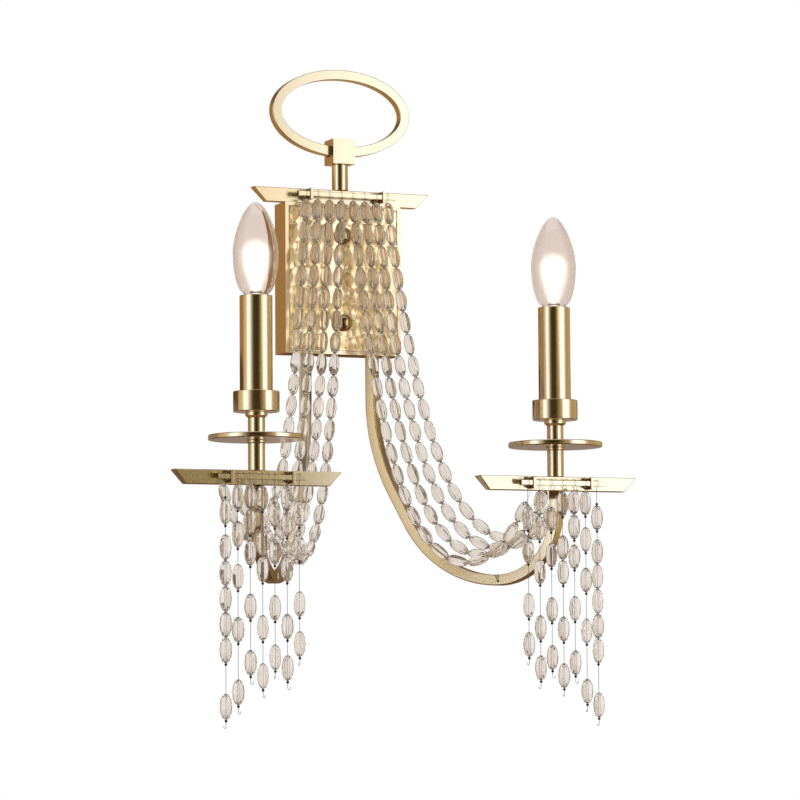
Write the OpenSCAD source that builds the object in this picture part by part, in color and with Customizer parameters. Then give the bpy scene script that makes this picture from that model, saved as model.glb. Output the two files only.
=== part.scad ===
// Two-light candle wall light in champagne gold, with draped and hanging strands of glass beads.
// Origin at the centre of the backplate's back face. X runs to the right seen from the room,
// Y runs into the wall, Z runs up. The wall is the plane y = 0 and the front faces -Y.

/* [Backplate] */
// Width of the backplate
plate_w = 100; // [92:1:116]
// Height of the backplate
plate_h = 121; // [112:1:140]
// Depth of the backplate from the wall to the front of its rim
plate_d = 23; // [23:0.5:30]
// Sheet thickness of the backplate
plate_wall = 1; // [0.8:0.1:1.4]
// Width of the raised rim round the hammered panel
rim_w = 3; // [2:0.5:5]
// Height of the rim in front of the sheet
rim_h = 1.8; // [1.4:0.1:2.4]
// Thickness of the hammered panel
panel_t = 0.8; // [0.6:0.1:1.2]

/* [Wall bracket] */
// Width of the bracket strap
strap_w = 20; // [16:1:26]
// Length of the bracket strap
strap_l = 110; // [104:1:116]
// Thickness of the bracket strap
strap_t = 2; // [1.5:0.5:3]
// Distance between the middles of the wall screw slots
slot_pitch = 92; // [88:1:94]
// Width of a wall screw slot
slot_w = 5; // [4:0.5:6]
// Distance between the end centres of a wall screw slot
slot_run = 5; // [2:0.5:6]
// Diameter of the cable hole in the bracket
cable_hole_d = 12; // [9:0.5:14]
// Distance between the two fixing studs
stud_pitch = 70; // [60:1:72]
// Diameter of the fixing studs
stud_d = 4; // [3:0.5:5]
// Diameter of a domed cap nut
cap_d = 14; // [11:0.5:15]
// Height of a domed cap nut in front of the panel
cap_h = 7; // [4:0.5:7.5]

/* [Top bar and ring] */
// Length of the top bar along its upper edge
top_bar_l = 152; // [130:1:170]
// Height of the top bar
top_bar_h = 11.5; // [10:0.5:14]
// Thickness of the top bar along its upper edge
top_bar_t = 8.5; // [8:0.5:10]
// Thickness of the top bar along its lower edge
top_bar_foot_t = 6.5; // [6:0.5:8]
// How far each end of the top bar slants in at the foot
top_bar_inset = 11; // [4:0.5:16]
// Distance of the tie rod, the top bar and the ring from the wall
stack_y = 16.5; // [16:0.1:16.8]
// Diameter of the stems
stem_d = 13; // [12:0.5:16]
// Height of the stem on the top bar
top_stem_h = 21; // [15:1:30]
// Width of the block that holds the ring
block_w = 19; // [16:1:24]
// Height of the block that holds the ring
block_h = 20; // [18:1:26]
// Width of the ring
ring_w = 119; // [100:1:140]
// Height of the ring
ring_h = 70.4; // [60:0.2:90]
// Thickness of the ring's square bar
ring_t = 7.9; // [6:0.1:9]
// Height of the ring's lowest point above the foot of the block
ring_seat = 6.4; // [5:0.1:8]
// Diameter of the threaded tie rod
rod_d = 4; // [3:0.5:4]

/* [Candle bars] */
// Distance of each candle from the middle
candle_x = 125; // [112:1:140]
// Distance of each candle from the wall
candle_y = 150; // [135:1:165]
// Drop from the backplate's middle to the top of a candle bar
candle_drop = 164; // [150:1:180]
// Length of a candle bar along its upper edge
bar_l = 135; // [112:1:150]
// Height of a candle bar
bar_h = 11; // [9:0.5:13]
// Thickness of a candle bar along its upper edge
bar_t = 11; // [10:0.5:13]
// Thickness of a candle bar along its lower edge
bar_foot_t = 8; // [7.5:0.5:10]
// How far each end of a candle bar slants in at the foot
bar_inset = 9.3; // [4:0.1:14]

/* [Strand rails] */
// Thickness of the square rails
rail_t = 4; // [3:0.5:5]
// Depth of a rail's middle below the top of its bar
rail_drop = 5.5; // [4.5:0.1:6]
// Space between a candle bar and its rails
rail_gap = 4; // [3.5:0.5:6]
// Space between the top bar and its rail
top_rail_gap = 8; // [7:0.5:12]
// Thickness of a rail post
post_t = 2.3; // [1.5:0.1:3]
// Height of a rail post
post_h = 9; // [7:0.2:9]
// How far a post stands past its rail
post_lip = 1; // [0.5:0.1:2]
// How far a rail runs past its posts
rail_tail = 11; // [8:0.5:14]

/* [Arms] */
// Width of the square arm tube
arm_w = 8.5; // [8:0.1:10]
// Bore of the square arm tube
arm_bore = 6.4; // [6.2:0.1:7]
// Distance of each arm's root from the middle
root_x = 29; // [24:0.5:34]
// Distance of each arm's root from the wall
root_y = 12; // [9:0.5:14]
// Length of arm inside the backplate
arm_tail = 8; // [4:1:12]
// Drop of the arm before it first bends
arm_drop = 34.5; // [28:0.5:42]
// Radius of the arm's first bend
arm_lead_r = 150; // [130:1:170]
// Slant from the vertical after the first bend, in degrees
arm_slant = 30; // [27:0.5:32]
// Drop from the backplate's middle to the middle of the arm's lowest point
arm_low = 243; // [238:1:250]
// Radius of the bend under the candle
arm_end_r = 51; // [45:1:56]

/* [Candles] */
// Height of the stem under the drip disc
low_stem_h = 23; // [15:1:35]
// Diameter of the drip disc
disc_d = 73.3; // [60:0.1:84]
// Thickness of the drip disc
disc_t = 4; // [3:0.5:5]
// Height of the stem on the drip disc
high_stem_h = 13; // [8:1:20]
// Height of the collar under the cup
collar_h = 4.2; // [3:0.1:6]
// Diameter of the collar under the cup
collar_d = 17; // [15:0.5:20]
// Diameter of the cup
cup_d = 35.2; // [32:0.2:42]
// Height of the cup
cup_h = 15.7; // [12:0.1:20]
// Wall of the cup
cup_wall = 1.4; // [1:0.1:2]
// Diameter of the candle sleeve
sleeve_d = 25; // [23.5:0.1:26]
// Wall of the candle sleeve
sleeve_wall = 0.8; // [0.6:0.1:1]
// Height of the candle sleeve
sleeve_h = 87; // [70:1:100]
// Diameter of the wiring nipple
nipple_d = 6; // [5:0.5:6]
// Bore of the wiring nipple
nipple_bore = 3.6; // [3:0.1:4]
// How far the nipple reaches into the arm
nipple_reach = 12; // [6:1:14]

/* [Bulbs] */
// Diameter of the lampholder
holder_d = 21; // [19:0.5:21.5]
// Depth of the lampholder's top below the sleeve's top
holder_sink = 2; // [1:0.5:4]
// Diameter of the bulb's screw cap
cap_shell_d = 13.8; // [13:0.1:14]
// Length of the bulb's screw cap
cap_shell_h = 23; // [20:1:26]
// Diameter of the bulb
bulb_d = 35; // [32:1:37]
// Height of the bulb's glass
bulb_h = 71; // [64:1:80]
// Wall of the bulb's glass
glass_t = 0.9; // [0.7:0.1:1.2]

/* [Hanging strands] */
// Diameter of a hanging bead
drop_bead_d = 9.5; // [8:0.1:9.6]
// Length of a hanging bead
drop_bead_l = 19; // [16:0.1:19.2]
// Distance between neighbouring hanging strands
drop_pitch = 9.9; // [9.9:0.1:10.4]
// Diameter of a crimp that holds a bead
crimp_d = 2.2; // [1.6:0.1:2.4]
// Length of the strand's tail below its last bead
tail_l = 5; // [4:0.5:8]
// Diameter of the strand wire
wire_d = 0.6; // [0.5:0.1:0.8]
// Diameter of the hole through a bead
bead_bore = 0.9; // [0.9:0.1:1.1]

/* [Draped strands] */
// Diameter of a draped bead
drape_bead_d = 8.6; // [7.5:0.1:8.6]
// Length of a draped bead
drape_bead_l = 17.3; // [15:0.1:17.3]
// Distance between draped beads along the strand
drape_pitch = 17.95; // [17.95:0.05:19]
// Distance of the first draped strand from the middle
drape_x = 5; // [5:0.1:6]
// Distance between draped strands on the top rail
drape_top_pitch = 10.1; // [10:0.1:11]
// Distance between draped strands on a candle bar's rear rail
drape_end_pitch = 13.2; // [13:0.1:14]
// Diameter of the draped strands' wire
drape_wire_d = 0.42; // [0.4:0.01:0.5]
// Gap between two lengths of that wire, inside a bead
wire_gap = 0.3; // [0.2:0.1:0.5]
// How far the draped strands' ends are shifted outwards on the rear rail
drape_end_shift = 4; // [2:0.5:5]
// Length of the innermost draped strand
drape_l = 405; // [398:1:412]
// How much shorter each next draped strand is
drape_step = 9.3; // [9:0.1:11]

/* [Hidden] */

// Clearance of a close fit and of a loose fit, across the whole width
close_fit = 0.2;
loose_fit = 0.6;
// Gap between parts that pass without touching
run_gap = 0.3;
// Gap between a wire loop and the corners of its square rail
loop_gap = 0.2;
// Gap between a crimp and the end of its bead
crimp_gap = 0.05;
// Length of wire between a loop and the nearest draped bead
lead_l = 0.6;
// Small chamfer on the turned discs and cups
turned_edge = 1;

gold = [0.80, 0.68, 0.46];
pale_gold = [0.88, 0.78, 0.56];
steel = [0.72, 0.72, 0.70];
glass = [0.86, 0.86, 0.88];
bulb_tint = [0.98, 0.93, 0.82];
crystal_n = 24;

// Heights and depths that follow from the driving dimensions
sheet_front = plate_d - rim_h;
panel_front = sheet_front + panel_t;
plate_top = plate_h / 2;
bar_z = -candle_drop;
bar_foot_z = bar_z - bar_h;
disc_z = bar_z + low_stem_h;
collar_z = disc_z + disc_t + high_stem_h;
cup_z = collar_z + collar_h;
cup_floor_z = cup_z + cup_wall;
sleeve_top_z = cup_floor_z + sleeve_h;
holder_top_z = sleeve_top_z - holder_sink;
holder_bore_d = cap_shell_d + loose_fit;
holder_floor = 4;
// Room in the lampholder under the bulb's cap
holder_room = 4;
nipple_top_z = cup_floor_z + holder_floor - 1;
nipple_hole_d = nipple_d + close_fit;
top_bar_z = plate_top;
block_z = top_bar_z + top_bar_h + top_stem_h;
ring_z = block_z + ring_seat + ring_h / 2;
top_rail_y = stack_y + top_bar_t / 2 + top_rail_gap + rail_t / 2;
top_rail_z = top_bar_z + top_bar_h - rail_drop;
candle_rail_y = bar_t / 2 + rail_gap + rail_t / 2;
candle_rail_z = bar_z - rail_drop;

// A wire loop clears the corners of its square rail
loop_r = rail_t / sqrt(2) + loop_gap + wire_d / 2;

// Hanging strands: depth of each bead's middle below the rail, innermost strand first.
// The strands were strung by hand, so the beads follow no rule.
hanging_beads = [
    [27, 53, 95, 125],
    [16, 35.2, 69, 112, 143],
    [28, 56, 98, 135],
    [15.8, 50, 69.2, 113, 149],
    [14.6, 33.8, 57, 97, 139],
    [15.2, 43.5, 75, 114.5, 161],
    [26.5, 53, 72.2, 91.4, 110.6, 129.8, 171.7]];

// Bar with slanted ends and faces, its foot at z = 0 and its length along X
module slanted_bar(l, h, t, foot_t, inset) {
    intersection() {
        rotate([90, 0, 0]) linear_extrude(t + 1, center = true)
            polygon([[-l / 2 + inset, 0], [l / 2 - inset, 0], [l / 2, h], [-l / 2, h]]);
        rotate([90, 0, 90]) linear_extrude(l + 1, center = true)
            polygon([[-foot_t / 2, 0], [foot_t / 2, 0], [t / 2, h], [-t / 2, h]]);
    }
}

// Rail and its two posts in front of a bar whose top is at z = 0; the child is the bar's shape
module rail_set(l, post_x, bar_half_t, gap) {
    rail_y = bar_half_t + gap + rail_t / 2;
    reach = rail_y + rail_t / 2 + post_lip;
    translate([0, -rail_y, -rail_drop]) cube([l, rail_t, rail_t], center = true);
    difference() {
        for (s = [-1, 1]) translate([s * post_x - post_t / 2, -reach, -rail_drop - post_h / 2])
            cube([post_t, reach, post_h]);
        translate([0, -rail_y, -rail_drop])
            cube([l, rail_t + close_fit, rail_t + close_fit], center = true);
        children();
    }
}

// Tube round the Z axis from z = 0
module tube(d, bore, h) {
    difference() {
        cylinder(d = d, h = h, $fn = 64);
        translate([0, 0, -1]) cylinder(d = bore, h = h + 2, $fn = 48);
    }
}

module at_candle(side) translate([side * candle_x, -candle_y, 0]) children();

// Wall fixing

module wall_bracket() color(steel) difference() {
    translate([-strap_w / 2, -strap_t, -strap_l / 2]) cube([strap_w, strap_t, strap_l]);
    rotate([90, 0, 0]) translate([0, 0, -1]) {
        cylinder(d = cable_hole_d, h = strap_t + 2, $fn = 48);
        for (s = [-1, 1]) {
            translate([0, s * stud_pitch / 2, 0])
                cylinder(d = stud_d + close_fit / 2, h = strap_t + 2, $fn = 32);
            for (e = [-1, 1]) translate([0, s * slot_pitch / 2 + e * slot_run / 2, 0])
                cylinder(d = slot_w, h = strap_t + 2, $fn = 32);
            translate([-slot_w / 2, s * slot_pitch / 2 - slot_run / 2, 0])
                cube([slot_w, slot_run, strap_t + 2]);
        }
    }
}

// Thickness of a cap nut's roof over its blind hole, and the room between it and the stud
cap_roof = 2;
stud_room = 0.5;

// Two studs, each with a lock nut against the bracket
module fixing_studs() color(steel) for (s = [-1, 1])
    translate([0, -run_gap, s * stud_pitch / 2]) rotate([90, 0, 0]) {
        cylinder(d = stud_d, h = panel_front + cap_h - cap_roof - stud_room - run_gap, $fn = 32);
        translate([0, 0, strap_t - run_gap]) cylinder(d = stud_d * 1.9, h = 3, $fn = 6);
    }

module cap_nuts() color(gold) for (s = [-1, 1])
    translate([0, -panel_front, s * stud_pitch / 2]) rotate([90, 0, 0]) difference() {
        intersection() {
            translate([0, 0, cap_h - cap_d / 2]) sphere(d = cap_d, $fn = 48);
            cylinder(d = cap_d, h = cap_h, $fn = 48);
        }
        translate([0, 0, -1]) cylinder(d = stud_d + close_fit, h = cap_h - cap_roof + 1, $fn = 32);
    }

// Backplate

// Square hole through the floor of the backplate for one arm
module arm_socket(side) translate([side * root_x, -root_y, -plate_h / 2])
    rotate(side > 0 ? -plan_angle : 180 + plan_angle)
        cube([arm_w + close_fit, arm_w + close_fit, 4 * plate_wall], center = true);

module backplate() color(gold) difference() {
    translate([-plate_w / 2, -plate_d, -plate_h / 2]) cube([plate_w, plate_d, plate_h]);
    translate([-plate_w / 2 + plate_wall, -sheet_front + plate_wall, -plate_h / 2 + plate_wall])
        cube([plate_w - 2 * plate_wall, sheet_front, plate_h - 2 * plate_wall]);
    translate([-plate_w / 2 + rim_w, -plate_d - 1, -plate_h / 2 + rim_w])
        cube([plate_w - 2 * rim_w, rim_h + 1, plate_h - 2 * rim_w]);
    for (s = [-1, 1]) translate([0, 0, s * stud_pitch / 2]) rotate([90, 0, 0])
        cylinder(d = stud_d + loose_fit, h = plate_d + 1, $fn = 32);
    for (side = [-1, 1]) arm_socket(side);
    translate([0, -stack_y, plate_h / 2 - 2 * plate_wall])
        cylinder(d = rod_d + close_fit, h = 4 * plate_wall, $fn = 32);
}

module hammered_panel() color(pale_gold) difference() {
    translate([-plate_w / 2 + rim_w + close_fit / 2, -panel_front, -plate_h / 2 + rim_w + close_fit / 2])
        cube([plate_w - 2 * rim_w - close_fit, panel_t, plate_h - 2 * rim_w - close_fit]);
    for (s = [-1, 1]) translate([0, -sheet_front + 1, s * stud_pitch / 2]) rotate([90, 0, 0])
        cylinder(d = stud_d + loose_fit, h = panel_t + 2, $fn = 32);
}

// Connector for the mains wires, fixed inside the backplate
module terminal_block() color("white") {
    block = [26, 11, 14];
    ways = 3;
    translate([-block[0] / 2, -sheet_front + plate_wall, -block[2] / 2]) difference() {
        cube(block);
        for (k = [0:ways - 1]) translate([(k + 0.5) * block[0] / ways, block[1] / 2, -1]) {
            cylinder(d = 3.4, h = block[2] + 2, $fn = 24);
            for (z = [0.3, 0.7]) translate([0, 0, 1 + z * block[2]]) rotate([-90, 0, 0])
                cylinder(d = 3, h = block[1], $fn = 24);
        }
    }
}

// Top bar, stem, block and ring

module top_bar_shape() translate([0, -stack_y, top_bar_z])
    slanted_bar(top_bar_l, top_bar_h, top_bar_t, top_bar_foot_t, top_bar_inset);

module top_bar() color(gold) difference() {
    top_bar_shape();
    translate([0, -stack_y, top_bar_z - 1])
        cylinder(d = rod_d + loose_fit / 2, h = top_bar_h + 2, $fn = 32);
}

module top_rail() color(gold) {
    // the posts stand between the last two strands of each side
    post_x = drape_x + 2.6 * drape_top_pitch;
    translate([0, -stack_y, top_bar_z + top_bar_h])
        rail_set(2 * (post_x + rail_tail), post_x, top_bar_t / 2, top_rail_gap)
            translate([0, 0, -top_bar_h])
                slanted_bar(top_bar_l, top_bar_h, top_bar_t, top_bar_foot_t, top_bar_inset);
}

module top_stem() color(gold) translate([0, -stack_y, top_bar_z + top_bar_h])
    tube(stem_d, rod_d + loose_fit, top_stem_h);

// Thickness of the block over its blind hole, and the room between it and the tie rod
block_roof = 2;
rod_room = 1;
// Height of the ring's underside at the sides of the block, above its lowest point
ring_rise = ring_h / 2 * (1 - sqrt(1 - pow(block_w / ring_w, 2)));

module ring_block() color(gold) translate([0, -stack_y, block_z]) difference() {
    translate([-block_w / 2, -block_w / 2, 0]) cube([block_w, block_w, block_h]);
    translate([-block_w / 2 - 1, -(ring_t + close_fit) / 2, ring_seat - close_fit / 2])
        cube([block_w + 2, ring_t + close_fit, ring_t + 1.3 * ring_rise + close_fit]);
    translate([0, 0, -1]) cylinder(d = rod_d + close_fit, h = block_h - block_roof + 1, $fn = 32);
}

function ellipse(a, b, n) = [for (k = [0:n - 1]) [a * cos(360 * k / n), b * sin(360 * k / n)]];

module ring() color(gold) difference() {
    translate([0, -stack_y, ring_z]) rotate([90, 0, 0]) linear_extrude(ring_t, center = true)
        difference() {
            polygon(ellipse(ring_w / 2, ring_h / 2, 96));
            polygon(ellipse(ring_w / 2 - ring_t, ring_h / 2 - ring_t, 96));
        }
    translate([0, -stack_y, block_z])
        cylinder(d = rod_d + close_fit, h = ring_seat + 2 * ring_t, $fn = 32);
}

// Threaded rod that clamps bar, stem, block and ring to the backplate, with its nut
module tie_rod() color(steel) {
    nut_h = 3.2;
    tail = 2;
    foot = plate_top - plate_wall - nut_h - tail;
    translate([0, -stack_y, foot])
        cylinder(d = rod_d, h = block_z + block_h - block_roof - rod_room - foot, $fn = 32);
    translate([0, -stack_y, plate_top - plate_wall - nut_h]) difference() {
        cylinder(d = rod_d * 1.75 / cos(30), h = nut_h, $fn = 6);
        translate([0, 0, -1]) cylinder(d = rod_d + close_fit / 2, h = nut_h + 2, $fn = 32);
    }
}

// Arms

arm_run = norm([candle_x - root_x, candle_y - root_y]);
plan_angle = atan2(candle_y - root_y, candle_x - root_x);
// Straight run and radius of the long bend that close the curve
run_left = arm_run - arm_end_r - arm_lead_r * (1 - cos(arm_slant));
drop_left = arm_low - plate_top - arm_drop - arm_lead_r * sin(arm_slant);
slant_l = (drop_left * cos(arm_slant) - run_left * (1 - sin(arm_slant))) / (1 - sin(arm_slant));
belly_r = (run_left * cos(arm_slant) - drop_left * sin(arm_slant)) / (1 - sin(arm_slant));
// Points in the arm's own plane: end of the slant, middles of the three bends
slant_end = [arm_lead_r * (1 - cos(arm_slant)) + slant_l * sin(arm_slant),
             -plate_top - arm_drop - arm_lead_r * sin(arm_slant) - slant_l * cos(arm_slant)];
lead_middle = [arm_lead_r, -plate_top - arm_drop];
belly_middle = slant_end + belly_r * [cos(arm_slant), sin(arm_slant)];
end_middle = [arm_run - arm_end_r, arm_end_r - arm_low];

function bend(middle, r, from, to, step = 3) = let (n = round((to - from) / step))
    [for (k = [0:n]) let (a = from + (to - from) * k / n) middle + r * [cos(a), sin(a)]];

// One edge of the arm at an offset outside its middle line, with its ends made longer by extra
function arm_edge(offset, extra) = concat(
    [[-offset, -plate_top + arm_tail + extra]],
    bend(lead_middle, arm_lead_r + offset, 180, 180 + arm_slant),
    bend(belly_middle, belly_r + offset, 180 + arm_slant, 270),
    bend(end_middle, arm_end_r + offset, 270, 360),
    [[arm_run + offset, bar_foot_z + extra]]);

// The arm's whole length as a square bar of width w
module arm_bar(w, extra) {
    outer = arm_edge(w / 2, extra);
    inner = arm_edge(-w / 2, extra);
    rotate([90, 0, 0]) linear_extrude(w, center = true)
        polygon(concat(outer, [for (k = [len(inner) - 1:-1:0]) inner[k]]));
}

module right_arm_shape() translate([root_x, -root_y, 0]) rotate(-plan_angle) difference() {
    arm_bar(arm_w, 0);
    arm_bar(arm_bore, 1);
}

module arm(side) color(gold)
    if (side > 0) right_arm_shape(); else mirror([1, 0, 0]) right_arm_shape();

// Candles

module candle_bar(side) color(gold) at_candle(side) translate([0, 0, bar_foot_z]) difference() {
    slanted_bar(bar_l, bar_h, bar_t, bar_foot_t, bar_inset);
    translate([0, 0, -1]) cylinder(d = nipple_hole_d, h = bar_h + 2, $fn = 32);
}

// Rail on the front of a candle bar, or on its back when turned
module candle_rail(side, post_x, turn) color(gold) at_candle(side) translate([0, 0, bar_z])
    rotate(turn) rail_set(2 * (post_x + rail_tail), post_x, bar_t / 2, rail_gap)
        translate([0, 0, -bar_h]) slanted_bar(bar_l, bar_h, bar_t, bar_foot_t, bar_inset);

module front_rail(side) candle_rail(side, 2.5 * drop_pitch, 0);

// The posts stand just outside the last draped strand
module rear_rail(side) {
    beyond = 3;
    candle_rail(side, drape_end_shift + 1.5 * drape_end_pitch + beyond, 180);
}

module stems(side) color(gold) at_candle(side) {
    translate([0, 0, bar_z]) tube(stem_d, nipple_hole_d, low_stem_h);
    translate([0, 0, disc_z + disc_t]) tube(stem_d, nipple_hole_d, high_stem_h);
}

module drip_disc(side) color(gold) at_candle(side) translate([0, 0, disc_z])
    rotate_extrude($fn = 96) polygon([[nipple_hole_d / 2, 0],
        [disc_d / 2 - turned_edge, 0], [disc_d / 2, turned_edge],
        [disc_d / 2, disc_t - turned_edge], [disc_d / 2 - turned_edge, disc_t],
        [nipple_hole_d / 2, disc_t]]);

module cup(side) color(gold) at_candle(side) rotate_extrude($fn = 96) polygon([
    [nipple_hole_d / 2, collar_z], [stem_d / 2, collar_z], [collar_d / 2, collar_z + 1.5],
    [collar_d / 2, cup_z], [cup_d / 2 - turned_edge, cup_z], [cup_d / 2, cup_z + turned_edge],
    [cup_d / 2, cup_z + cup_h], [cup_d / 2 - cup_wall, cup_z + cup_h],
    [cup_d / 2 - cup_wall, cup_floor_z], [nipple_hole_d / 2, cup_floor_z]]);

module nipple(side) color(steel) at_candle(side)
    translate([0, 0, bar_foot_z - nipple_reach])
        tube(nipple_d, nipple_bore, nipple_top_z - bar_foot_z + nipple_reach);

module sleeve(side) color(gold) at_candle(side) translate([0, 0, cup_floor_z])
    tube(sleeve_d, sleeve_d - 2 * sleeve_wall, sleeve_h);

module lampholder(side) color("ivory") at_candle(side) rotate_extrude($fn = 64) polygon([
    [nipple_hole_d / 2, cup_floor_z], [holder_d / 2, cup_floor_z],
    [holder_d / 2, holder_top_z], [holder_bore_d / 2, holder_top_z],
    [holder_bore_d / 2, holder_top_z - cap_shell_h - holder_room],
    [nipple_hole_d / 2, holder_top_z - cap_shell_h - holder_room]]);

// Bulbs

// Half outline of the bulb's glass: share of the radius against share of the height
bulb_outline = [[0.48, 0], [0.60, 0.03], [0.73, 0.07], [0.83, 0.13], [0.91, 0.21], [0.965, 0.3],
                [1, 0.44], [0.98, 0.52], [0.93, 0.6], [0.85, 0.68], [0.74, 0.76], [0.61, 0.84],
                [0.5, 0.89], [0.38, 0.935], [0.23, 0.975], [0.1, 0.994], [0, 1]];
bulb_foot_z = sleeve_top_z + run_gap;

module bulb_cap(side) color(steel) at_candle(side) {
    pip_d = 5;
    pip_h = 1.5;
    cone_h = 3.5;
    skirt_h = cap_shell_h - pip_h - cone_h;
    rotate_extrude($fn = 64) polygon([[0, bulb_foot_z - cap_shell_h],
        [pip_d / 2, bulb_foot_z - cap_shell_h], [pip_d / 2, bulb_foot_z - cap_shell_h + pip_h],
        [cap_shell_d / 2, bulb_foot_z - skirt_h], [cap_shell_d / 2, bulb_foot_z],
        [0, bulb_foot_z]]);
}

module bulb_glass(side) color(bulb_tint, 0.5) at_candle(side) translate([0, 0, bulb_foot_z])
    rotate_extrude($fn = 96) polygon(concat(
        [for (p = bulb_outline) [p[0] * bulb_d / 2, p[1] * bulb_h]],
        [[0, bulb_h - 1.4 * glass_t]],
        [for (k = [len(bulb_outline) - 3:-1:0])
            [bulb_outline[k][0] * bulb_d / 2 - glass_t, bulb_outline[k][1] * bulb_h]]));

// Glass stem and the lit core on it
module bulb_core(side) color(bulb_tint) at_candle(side) translate([0, 0, bulb_foot_z]) {
    stem_h = 0.32 * bulb_h;
    flare_d = 11;
    flare_h = 4;
    neck_d = 6.8;
    tip_d = 4.4;
    core_d = 3;
    rotate_extrude($fn = 32) polygon([[0, 0], [flare_d / 2, 0], [neck_d / 2, flare_h],
        [tip_d / 2, stem_h], [0, stem_h]]);
    translate([0, 0, stem_h]) cylinder(d = core_d, h = 0.28 * bulb_h, $fn = 32);
}

// Strands

// Oval bead along Z, its middle at the origin, with a hole along it
module bead(d, l) {
    end_r = 0.6;
    belt = [for (k = [0:8]) let (t = -1 + k / 4)
        [end_r + (d / 2 - end_r) * pow(1 - t * t, 0.62), t * l / 2]];
    rotate_extrude($fn = crystal_n)
        polygon(concat([[bead_bore / 2, -l / 2]], belt, [[bead_bore / 2, l / 2]]));
}

// Wire loop round a rail that runs along X
module rail_loop() rotate([0, 90, 0]) rotate_extrude($fn = 48)
    translate([loop_r, 0]) circle(d = wire_d, $fn = 16);

// A crimp sits under each bead that has bare wire or the tail below it
module hanging_strand(side, k) {
    beads = hanging_beads[k - 1];
    last = len(beads) - 1;
    touching = drop_bead_l + 0.5;
    crimp_drop = drop_bead_l / 2 + crimp_d / 2 + crimp_gap;
    tail_end = beads[last] + drop_bead_l / 2 + tail_l + crimp_d;
    translate([side * (candle_x + (k - 4) * drop_pitch), -candle_y - candle_rail_y, candle_rail_z]) {
        color(glass) for (depth = beads) translate([0, 0, -depth]) bead(drop_bead_d, drop_bead_l);
        color("dimgray") union() {
            rail_loop();
            translate([0, 0, -tail_end]) cylinder(d = wire_d, h = tail_end - loop_r, $fn = 16);
            for (j = [0:last]) if (j == last || beads[j + 1] - beads[j] > touching)
                translate([0, 0, -beads[j] - crimp_drop]) sphere(d = crimp_d, $fn = 16);
            if (k == 7) translate([0, 0, -beads[0] + crimp_drop]) sphere(d = crimp_d, $fn = 16);
        }
    }
}

// Draped strand: the curve of a chain of length l hung between two rails.
// The chain's shape number m solves sinh(m) / m = spread by halving an interval.
function sinh(x) = (exp(x) - exp(-x)) / 2;
function cosh(x) = (exp(x) + exp(-x)) / 2;
function asinh(x) = ln(x + sqrt(x * x + 1));
function chain_m(spread, low = 0.01, high = 20, steps = 40) =
    let (mid = (low + high) / 2)
    steps == 0 ? mid
    : sinh(mid) / mid < spread ? chain_m(spread, mid, high, steps - 1)
    : chain_m(spread, low, mid, steps - 1);

// Points at even steps of length along the chain from a to b, first point at a
function chain_points(a, b, l, step) =
    let (h = norm([b[0] - a[0], b[1] - a[1]]), v = b[2] - a[2],
         s = h / (2 * chain_m(sqrt(l * l - v * v) / h)),
         lowest = h / 2 - s * ln((l + v) / (l - v)) / 2,
         start = s * sinh(-lowest / s))
    [for (j = [0:floor(l / step)]) let (x = lowest + s * asinh((start + j * step) / s))
        [a[0] + (b[0] - a[0]) * x / h, a[1] + (b[1] - a[1]) * x / h,
         a[2] + s * (cosh((x - lowest) / s) - cosh(lowest / s))]];

// Rail points that a draped strand hangs from, and where its chain begins and ends
function drape_top(side, k) =
    [side * (drape_x + (k - 1) * drape_top_pitch), -top_rail_y, top_rail_z];
function drape_end(side, k) =
    [side * (candle_x + drape_end_shift + (k - 2.5) * drape_end_pitch),
     -candle_y + candle_rail_y, candle_rail_z];

// Turns Z into the direction from a to b
module along(a, b) {
    d = b - a;
    translate((a + b) / 2) rotate([0, acos(d[2] / norm(d)), atan2(d[1], d[0])]) children();
}

// Tube with six sides through a list of points, all but the ends mitred
module wire_through(points, d) {
    n = len(points);
    sides = 6;
    function heading(j) = let (p = points[max(j - 1, 0)], q = points[min(j + 1, n - 1)])
        (q - p) / norm(q - p);
    across = cross(points[n - 1] - points[0], [0, 0, 1]);
    flat = across / norm(across);
    rings = [for (j = [0:n - 1]) let (up = cross(flat, heading(j)))
        for (i = [0:sides - 1]) points[j]
            + d / 2 * (cos(360 * i / sides) * flat + sin(360 * i / sides) * up)];
    polyhedron(rings, concat(
        [[for (i = [0:sides - 1]) i]],
        [for (j = [0:n - 2]) for (i = [0:sides - 1]) let (i2 = (i + 1) % sides)
            each [[j * sides + i, (j + 1) * sides + i, (j + 1) * sides + i2],
                  [j * sides + i, (j + 1) * sides + i2, j * sides + i2]]],
        [[for (i = [sides - 1:-1:0]) (n - 1) * sides + i]]));
}

// The wire is in lengths that end inside every second bead, so each is nearly straight
module draped_strand(side, k) {
    lead = [0, 0, lead_l];
    hang = [0, 0, loop_r] + lead;
    a = drape_top(side, k) - hang;
    b = drape_end(side, k) - hang;
    joints = chain_points(a, b, drape_l - (k - 1) * drape_step, drape_pitch);
    last = len(joints) - 1;
    cuts = [for (j = [1:2:last - 1]) j];
    last_cut = cuts[len(cuts) - 1];
    function middle(j, way) = let (d = joints[j + 1] - joints[j])
        (joints[j] + joints[j + 1]) / 2 + way * wire_gap / 2 * d / norm(d);
    color(glass) for (j = [0:last - 1]) along(joints[j], joints[j + 1])
        bead(drape_bead_d, drape_bead_l);
    color("dimgray") {
        union() {
            wire_through([a + lead, joints[0], joints[1], middle(1, -1)], drape_wire_d);
            translate(drape_top(side, k)) rail_loop();
        }
        for (j = cuts) if (j < last_cut)
            wire_through([middle(j, 1), joints[j + 1], joints[j + 2], middle(j + 2, -1)],
                drape_wire_d);
        union() {
            wire_through(concat([middle(last_cut, 1)],
                                [for (j = [last_cut + 1:last]) joints[j]],
                                [b + lead]), drape_wire_d);
            translate(drape_end(side, k)) rail_loop();
        }
    }
}

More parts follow.
